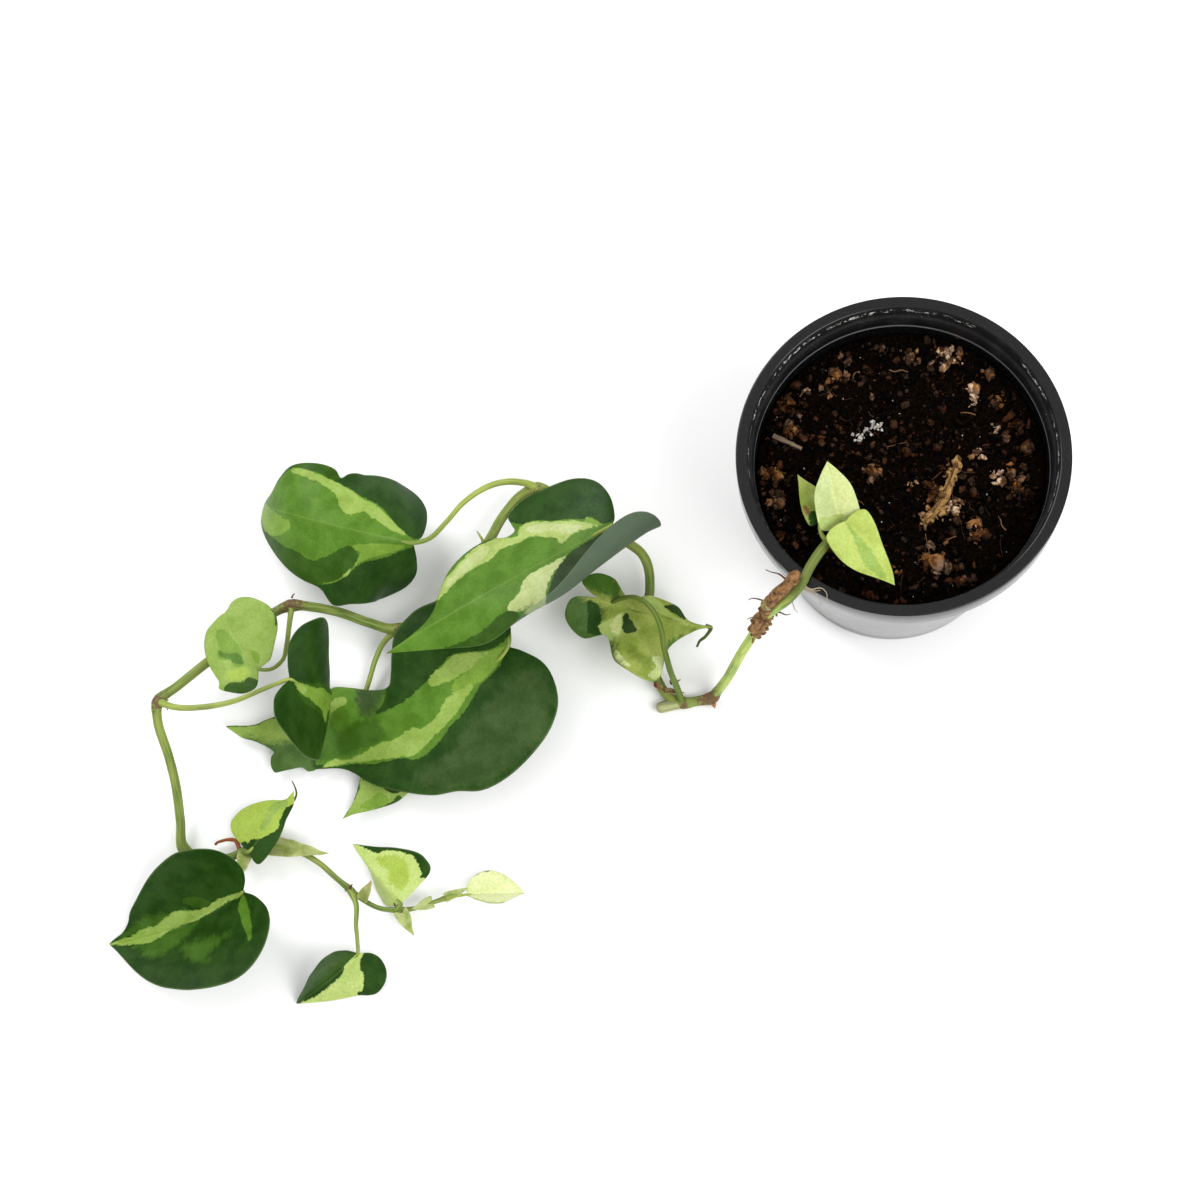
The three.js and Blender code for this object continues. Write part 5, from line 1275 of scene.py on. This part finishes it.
def lump(place, size, tint, rough=0.5):
    """One rough lump of a size at a place, squashed and turned at random."""
    points, faces = PEBBLE
    stretch = random.uniform(0.45, 1.35, 3) * (1, 1, 0.8)
    turn = np.linalg.qr(random.normal(size=(3, 3)))[0]
    bulges = 1 + rough * lattice(points * 1.7 + random.uniform(0, 50, 3), 7)
    moved = (points * bulges[:, None] * stretch) @ turn.T * size + place
    return moved, faces, {"grain": points * 0.8 + place, "tint": np.full(len(points), tint)}


def on_soil(x, y, above):
    """A place over the soil, kept inside the pot's wall."""
    past = max(1, math.hypot(x, y) / LITTER_EDGE)
    x, y = x / past, y / past
    return x, y, soil_height(np.array([x]), np.array([y]))[0] + above


def disc_step(reach):
    """A random step whose length is even over a disc of this reach."""
    angle = random.uniform(0, 2 * math.pi)
    length = reach * random.uniform(0, 1) ** 0.5
    return length * math.cos(angle), length * math.sin(angle)


def scatter_crumbs():
    """Dark crumbs all over the soil, clusters of paler bark and clods, and white perlite."""
    crumbs, clods, white = [], [], []
    for _ in range(CRUMBS):
        x, y = disc_step(LITTER_EDGE)
        size = 0.3 + 1.25 * random.uniform(0, 1) ** 3.5
        tint = 0.5 * random.uniform(0, 1) ** 1.5 + 0.3 * (random.uniform(0, 1) > 0.92)
        crumbs.append(lump(on_soil(x, y, size * 0.25), size, tint))
    for cx, cy, reach, count, tint in CLODS:
        for _ in range(count):
            dx, dy = random.normal(size=2) * reach * 0.42
            size = 0.35 + 1.25 * random.uniform(0, 1) ** 2.2
            place = on_soil(cx + dx, cy + dy, size * 0.2 + random.uniform(0, 0.5))
            clods.append(lump(place, size, tint + random.uniform(-0.45, 0.2), 0.8))
    for x, y, size, tint in PEBBLES:
        clods.append(lump(on_soil(x, y, size * 0.55), size, tint, 0.6))
    for number, (x, y, size) in enumerate(PERLITE):
        pile, tint = (white, 0.3) if number < WHITE_PERLITE else (clods, 1.0)
        for _ in range(PERLITE_LUMPS):
            dx, dy = random.normal(size=2) * size * 0.5
            part = size * random.uniform(0.25, 0.55)
            pile.append(lump(on_soil(x + dx, y + dy, 0.35), part, tint, 0.8))
    for _ in range(WHITE_GRAINS):
        x, y = disc_step(SOIL_EDGE - 2)
        white.append(lump(on_soil(x, y, 0.2), random.uniform(0.15, 0.32), 0.5, 0.7))
    add_piece("soil_crumbs", crumbs, CRUMB, "soil")
    add_piece("soil_clods", clods, CRUMB, "soil")
    add_piece("perlite", white, PERLITE_WHITE, "soil")


def scatter_fibres():
    """Thin root hairs and splinters that lie loose on the soil."""
    parts = []
    for _ in range(FIBRES):
        angle = random.uniform(0, 2 * math.pi)
        reach = (SOIL_EDGE - 5) * random.uniform(0, 1) ** 0.45
        heading = random.uniform(0, 2 * math.pi)
        steps = np.linspace(-0.5, 0.5, 4) * random.uniform(2, 6)
        x = reach * math.cos(angle) + steps * math.cos(heading) + random.normal(size=4) * 0.3
        y = reach * math.sin(angle) + steps * math.sin(heading) + random.normal(size=4) * 0.3
        route = np.column_stack([x, y, soil_height(x, y) + 0.5 + random.uniform(0, 0.5, 4)])
        thick = random.uniform(0.1, 0.28)
        parts.append(tapered(route, thick, thick * 0.6, 6, tint=random.uniform(0.2, 1)))
    add_piece("soil_fibres", parts, CRUMB, "soil")


def make_litter():
    points, places = curve_points(TWIG_ROUTE, 0.35)
    radii = 0.9 - 0.27 * places / places[-1] + 0.12 * lattice(points * 0.9, 2)
    add_piece("dead_twig", [bar(points, radii, 14, tint=0.5, seed=6)], TWIG, "twig", "twig")
    points, places = curve_points(BARK_ROUTE, 0.35)
    share = places / places[-1]
    width = 1.25 * np.clip(np.sin(math.pi * (0.1 + 0.85 * share)), 0.2, 1) ** 0.4
    rough = 1 + 0.4 * rough_corners(places, 24, 2.6, 0.6, 9)
    parts = [bar(points, width[:, None] * rough, 24, tint=0.55, seed=1)]
    for _ in range(BARK_FLAKES):
        middle = points[random.integers(0, len(points))] + random.normal(size=3) * (1.0, 1.0, 0.4)
        size = 0.4 + 1.0 * random.uniform(0, 1) ** 2
        parts.append(lump(middle, size, random.uniform(0, 1.1), 0.9))
    add_piece("curled_bark", parts, BARK_STRIP, "bark", "bark_strip")


# Materials

# Each range is (from, to, value before it, value after it), in millimetres.
PALE_STEM = (-66.0, -58.0, 1.0, 1.9)
SHADED_STEM = (-40.0, -34.0, 1.0, 0.34)
INSIDE = (48.9, 49.1, 1.0, 0.0)
INSIDE_LIP = (50.5, 50.7, 1.0, 0.0)
SPLASHED = (80.0, 90.0, 0.0, 1.0)
# Heights of the painted highlight ring on the inner wall, just above the soil
PAINTED_HIGHLIGHT_LINE = [(83.2, 83.5, 0.0, 1.0), (84.0, 84.4, 1.0, 0.0)]
SALT_LINE = [(91.9, 92.1, 0.0, 1.0), (93.6, 93.8, 1.0, 0.0)]


def stem_material(name, stained, light="88973f", shade="5f762c", stripe="adb866"):
    """Green stem with fine stripes along it. The vine's is brown at its joints and paler in places."""
    shader = Shader(name, Roughness=0.5, Specular_IOR_Level=0.2, Subsurface_Weight=0.1, Subsurface_Scale=MM)
    grain = shader.field("grain", "Vector")
    place = shader.position()
    pale = shader.mix(shader.ramp(shader.noise(place, 0.045, 2.0), 0.4, 0.62), light, shade)
    stripes = shader.ramp(shader.noise(grain, 2.4), 0.42, 0.6)
    shown = shader.mix(stripes, pale, shader.mix(0.5, pale, stripe))
    flecks = shader.ramp(shader.noise(shader.stretch(grain, (3, 3, 14)), 2.6, 2.0), 0.62, 0.72, 0.0, 0.5)
    shown = shader.mix(flecks, shown, "4b6828")
    if stained:
        x = shader.parts(place)[0]
        level = shader.product(shader.ramp(x, *PALE_STEM), shader.ramp(x, *SHADED_STEM))
        shown = shader.mix(1.0, shown, level, "MULTIPLY")
        wander = shader.ramp(shader.noise(place, 0.7, 4.0, 0.6), 0.35, 0.65, -0.35, 0.35)
        stain = shader.ramp(shader.maths("ADD", shader.field("tint"), wander), 0.35, 0.75)
        brown = shader.mix(shader.noise(place, 1.1), "43301f", "7d6242")
        shown = shader.mix(stain, shown, brown)
    shader.paint(shown)
    shader.bump(shader.noise(shader.stretch(grain, (4, 4, 3)), 2.0), 0.06, 0.6)
    return shader.material


def mottled_material(name, dark, light, scale=0.5, tinted=True, roughness=0.8, relief=0.2, shine=0.15):
    """A rough natural surface between two colours, darker or lighter with its tint."""
    shader = Shader(name, Roughness=roughness, Specular_IOR_Level=shine)
    grain = shader.field("grain", "Vector") if tinted else shader.position()
    share = shader.ramp(shader.noise(grain, scale, 5.0, 0.65), 0.3, 0.7)
    if tinted:
        share = shader.product(share, shader.ramp(shader.field("tint"), 0.0, 1.0, 0.25, 1.6))
    shader.paint(shader.mix(share, dark, light))
    shader.bump(shader.noise(grain, scale * 3, 5.0, 0.65), relief)
    return shader.material


def crumb_material():
    """Bark and clods by their tint, from nearly black through brown to pale tan."""
    shader = Shader("bark_crumbs", Roughness=0.9, Specular_IOR_Level=0.03)
    grain = shader.field("grain", "Vector")
    uneven = shader.ramp(shader.noise(grain, 1.1, 5.0, 0.65), 0.3, 0.7, -0.25, 0.2)
    level = shader.maths("ADD", shader.field("tint"), uneven)
    warmth = shader.ramp(shader.noise(shader.position(), 0.16, 2.0), 0.4, 0.6)
    shown = shader.mix(shader.ramp(level, 0.1, 0.55), "020101", shader.mix(warmth, "3f2413", "33251b"))
    shown = shader.mix(shader.ramp(level, 0.55, 0.95), shown, shader.mix(warmth, "83592f", "7a5f4c"))
    shader.paint(shader.mix(shader.ramp(level, 0.95, 1.2), shown, "c9ae90"))
    shader.bump(shader.noise(grain, 3.0, 5.0, 0.65), 0.25)
    return shader.material


def sheath_material():
    shader = Shader(
        "papery_sheath", Roughness=0.5, Specular_IOR_Level=0.2, Subsurface_Weight=0.3, Subsurface_Scale=MM
    )
    veins = shader.ramp(shader.noise(shader.field("grain", "Vector"), 1.0, 4.0, 0.6), 0.35, 0.65)
    fresh = shader.mix(veins, "8b9f52", "a9b87a")
    dry = shader.mix(veins, "573a22", "9a7a50")
    shader.paint(shader.mix(shader.field("tint"), fresh, dry))
    return shader.material


def pot_material():
    """Black plastic, with pale salts and scuffs above the soil inside, and a painted highlight ring on the
    inner wall just above the soil.
    """
    shader = Shader("black_plastic", Roughness=0.24, Specular_IOR_Level=0.36)
    place = shader.position()
    x, y, z = shader.parts(place)
    reach = shader.maths("SQRT", shader.maths("ADD", shader.product(x, x), shader.product(y, y)))
    inner = shader.ramp(reach, *INSIDE)
    above = shader.product(inner, shader.ramp(z, *SPLASHED))
    smear = shader.ramp(shader.noise(place, 0.12, 5.0, 0.65), 0.46, 0.7, 0.0, 0.3)
    shown = shader.mix(shader.product(above, smear), "0a0a0b", "3a3b3d")
    # Painted highlight: a thin pale grey ring where the inner wall meets the soil
    painted_highlight = shader.product(*(shader.ramp(z, *edge) for edge in PAINTED_HIGHLIGHT_LINE), inner, 0.8)
    shown = shader.mix(painted_highlight, shown, "7b7d80")
    dust = shader.ramp(shader.noise(place, 1.1, 5.0, 0.7), 0.5, 0.75, 0.0, 0.35)
    shown = shader.mix(dust, shown, "2c2d2e")
    lip = shader.product(*(shader.ramp(z, *edge) for edge in SALT_LINE), shader.ramp(reach, *INSIDE_LIP))
    specks = shader.ramp(shader.noise(shader.stretch(place, (0.5, 0.5, 0.8)), 1.1, 3.0, 0.7), 0.545, 0.565)
    patchy = shader.ramp(shader.noise(place, 0.06, 2.0), 0.42, 0.5)
    crust = shader.product(specks, patchy, lip)
    grit = shader.ramp(shader.noise(place, 1.6, 3.0, 0.7), 0.68, 0.73)
    salts = shader.maths("MAXIMUM", crust, shader.product(grit, patchy, above))
    shader.paint(shader.mix(salts, shown, "d9d7d0"))
    dull = shader.maths("ADD", shader.ramp(shader.noise(place, 0.3, 4.0), 0.3, 0.7, 0.2, 0.3), above)
    shader.paint(shader.ramp(dull, 0.0, 1.6, 0.1, 0.75), "Roughness")
    shader.bump(shader.noise(place, 0.5), 0.02, 0.5)
    return shader.material


STALK = stem_material("leaf_stalk", False)
DARK_STALK = stem_material("dark_stalk", False, "526624", "41561a", "6f8336")
STEM = stem_material("vine_stem", True, "74843a", "51662a", "94a053")
SHEATH = sheath_material()
POT_PLASTIC = pot_material()
SOIL = mottled_material("dark_soil", "010101", "100a06", 0.9, tinted=False, roughness=1.0, shine=0.0)
CRUMB = crumb_material()
PERLITE_WHITE = mottled_material("perlite", "6f6a64", "cfcac0", 1.2, tinted=False, roughness=0.9)
BARK_STRIP = mottled_material("bark_strip", "241509", "a98250", 0.9, roughness=0.85, relief=0.4, shine=0.05)
TWIG = mottled_material("dead_twig", "4a3a2e", "8f7c66", 1.2, roughness=0.8)
OLD_WOOD = mottled_material("old_wood", "2a170b", "9a7145", 0.6, tinted=False, roughness=0.6, relief=0.25)
ROOT_BROWN = mottled_material("root_knobs", "3f2716", "a98254", 1.2, roughness=0.55)
TAIL_GREEN = mottled_material("tail_green", "3f5220", "74833e", 1.2, roughness=0.5, relief=0.05)
ROOT_RED = mottled_material("red_root", "7a3f22", "bb7650", 1.2, roughness=0.6, relief=0.06)
ROOT_BEIGE = mottled_material("young_roots", "8f836a", "d8cdb4", 1.4, roughness=0.6, relief=0.06)
NUB = mottled_material("root_nubs", "1f1410", "6a4636", 1.4, roughness=0.6, relief=0.06)
CUT_WOOD = mottled_material("cut_stub", "66693f", "a9ac7c", 1.2, roughness=0.6, relief=0.06)
KNOT_WOOD = mottled_material("wood_knot", "4d3d1e", "968a58", 1.4, roughness=0.6, relief=0.15)


# The plant

LEAF_SLOTS = {part["node"]: part["material_slot"] for part in frame["record"]["subparts"]}


def make_plant():
    add_piece("vine_stem", [vine_stem()], STEM, "stem", "vine")
    add_piece("vine_nubs", vine_nubs(), NUB, "bark")
    roots = [tapered(route, *radii, curl=0.5, seed=k) for k, (route, *radii) in enumerate(AERIAL_ROOTS)]
    add_piece("aerial_roots", roots, ROOT_BEIGE, "bark", "vine")
    tails = [tapered(route, *radii, seed=k) for k, (route, *radii) in enumerate(LEAF_TAILS)]
    add_piece("leaf_tails", tails, TAIL_GREEN, "stem")
    add_piece("red_root", [tapered(RED_ROOT, 0.85, 0.5, curl=0.4, seed=4)], ROOT_RED, "bark")
    add_piece("thorn", [tapered(THORN, 0.8, 0.25)], STALK, "stem")
    add_piece("cut_stub", [cut_stub(CUT_STUB, CUT_RADIUS)], CUT_WOOD, "stem")
    sheaths = [sheath(*values, seed) for seed, values in enumerate(SHEATHS)]
    add_piece("papery_sheaths", sheaths, SHEATH, "leaf_pale")
    add_piece("old_wood_stub", [old_wood()], OLD_WOOD, "bark", "old_wood_and_roots")
    add_piece("root_knobs", root_clump(), ROOT_BROWN, "bark", "old_wood_and_roots")
    add_piece("wood_knot", [cut_stub(WOOD_KNOT, WOOD_KNOT_RADIUS)], KNOT_WOOD, "bark")
    side_roots = [tapered(route, 0.36, 0.12, curl=0.6, seed=k) for k, route in enumerate(SIDE_ROOTS)]
    add_piece("side_roots", side_roots, ROOT_BROWN, "bark")
    for seed, (name, leaf) in enumerate(LEAVES.items()):
        make_leaf(name, leaf, seed + 1)


# Floor, lights and camera

FLOOR_REACH = 3
FLOOR_GREY = 0.93
LIGHTS = [
    ((0.9, -0.7, 1.6), 1.1, 26),
    ((-0.9, 1.0, 1.5), 0.9, 18),
]
LIGHTS_AIM = (-0.1, -0.05, 0)
WORLD_STRENGTH = 0.85


def make_floor():
    mesh = bpy.data.meshes.new("floor")
    corners = [(x * FLOOR_REACH, y * FLOOR_REACH, 0) for x, y in ((-1, -1), (1, -1), (1, 1), (-1, 1))]
    mesh.from_pydata(corners, [], [(0, 1, 2, 3)])
    shader = Shader("white_floor", Roughness=0.7, Base_Color=(FLOOR_GREY, FLOOR_GREY, FLOOR_GREY, 1))
    mesh.materials.append(shader.material)
    linked("floor", mesh)


def make_lights():
    for k, (place, size, power) in enumerate(LIGHTS):
        light = bpy.data.lights.new(f"softbox_{k}", "AREA")
        light.size = size
        light.energy = power
        lamp = linked(light.name, light)
        lamp.location = place
        lamp.rotation_euler = (Vector(LIGHTS_AIM) - Vector(place)).to_track_quat("-Z", "Y").to_euler()
    world = bpy.data.worlds.new("white_room")
    world.use_nodes = True
    inputs = world.node_tree.nodes["Background"].inputs
    inputs["Color"].default_value = (1, 1, 1, 1)
    inputs["Strength"].default_value = WORLD_STRENGTH
    bpy.context.scene.world = world


def make_camera():
    lens = bpy.data.cameras.new("camera")
    lens.lens = CAMERA_LENS
    lens.clip_start = 0.01
    camera = linked("camera", lens)
    camera.location = CAMERA_PLACE
    camera.rotation_euler = [math.radians(turn) for turn in CAMERA_TURN]
    bpy.context.scene.camera = camera
    bpy.context.scene.view_settings.view_transform = "Standard"


random = np.random.default_rng(7)
PEBBLE = ball()
make_pot()
make_soil()
scatter_crumbs()
scatter_fibres()
make_litter()
make_plant()
make_floor()
make_lights()
make_camera()

bpy.context.view_layer.update()
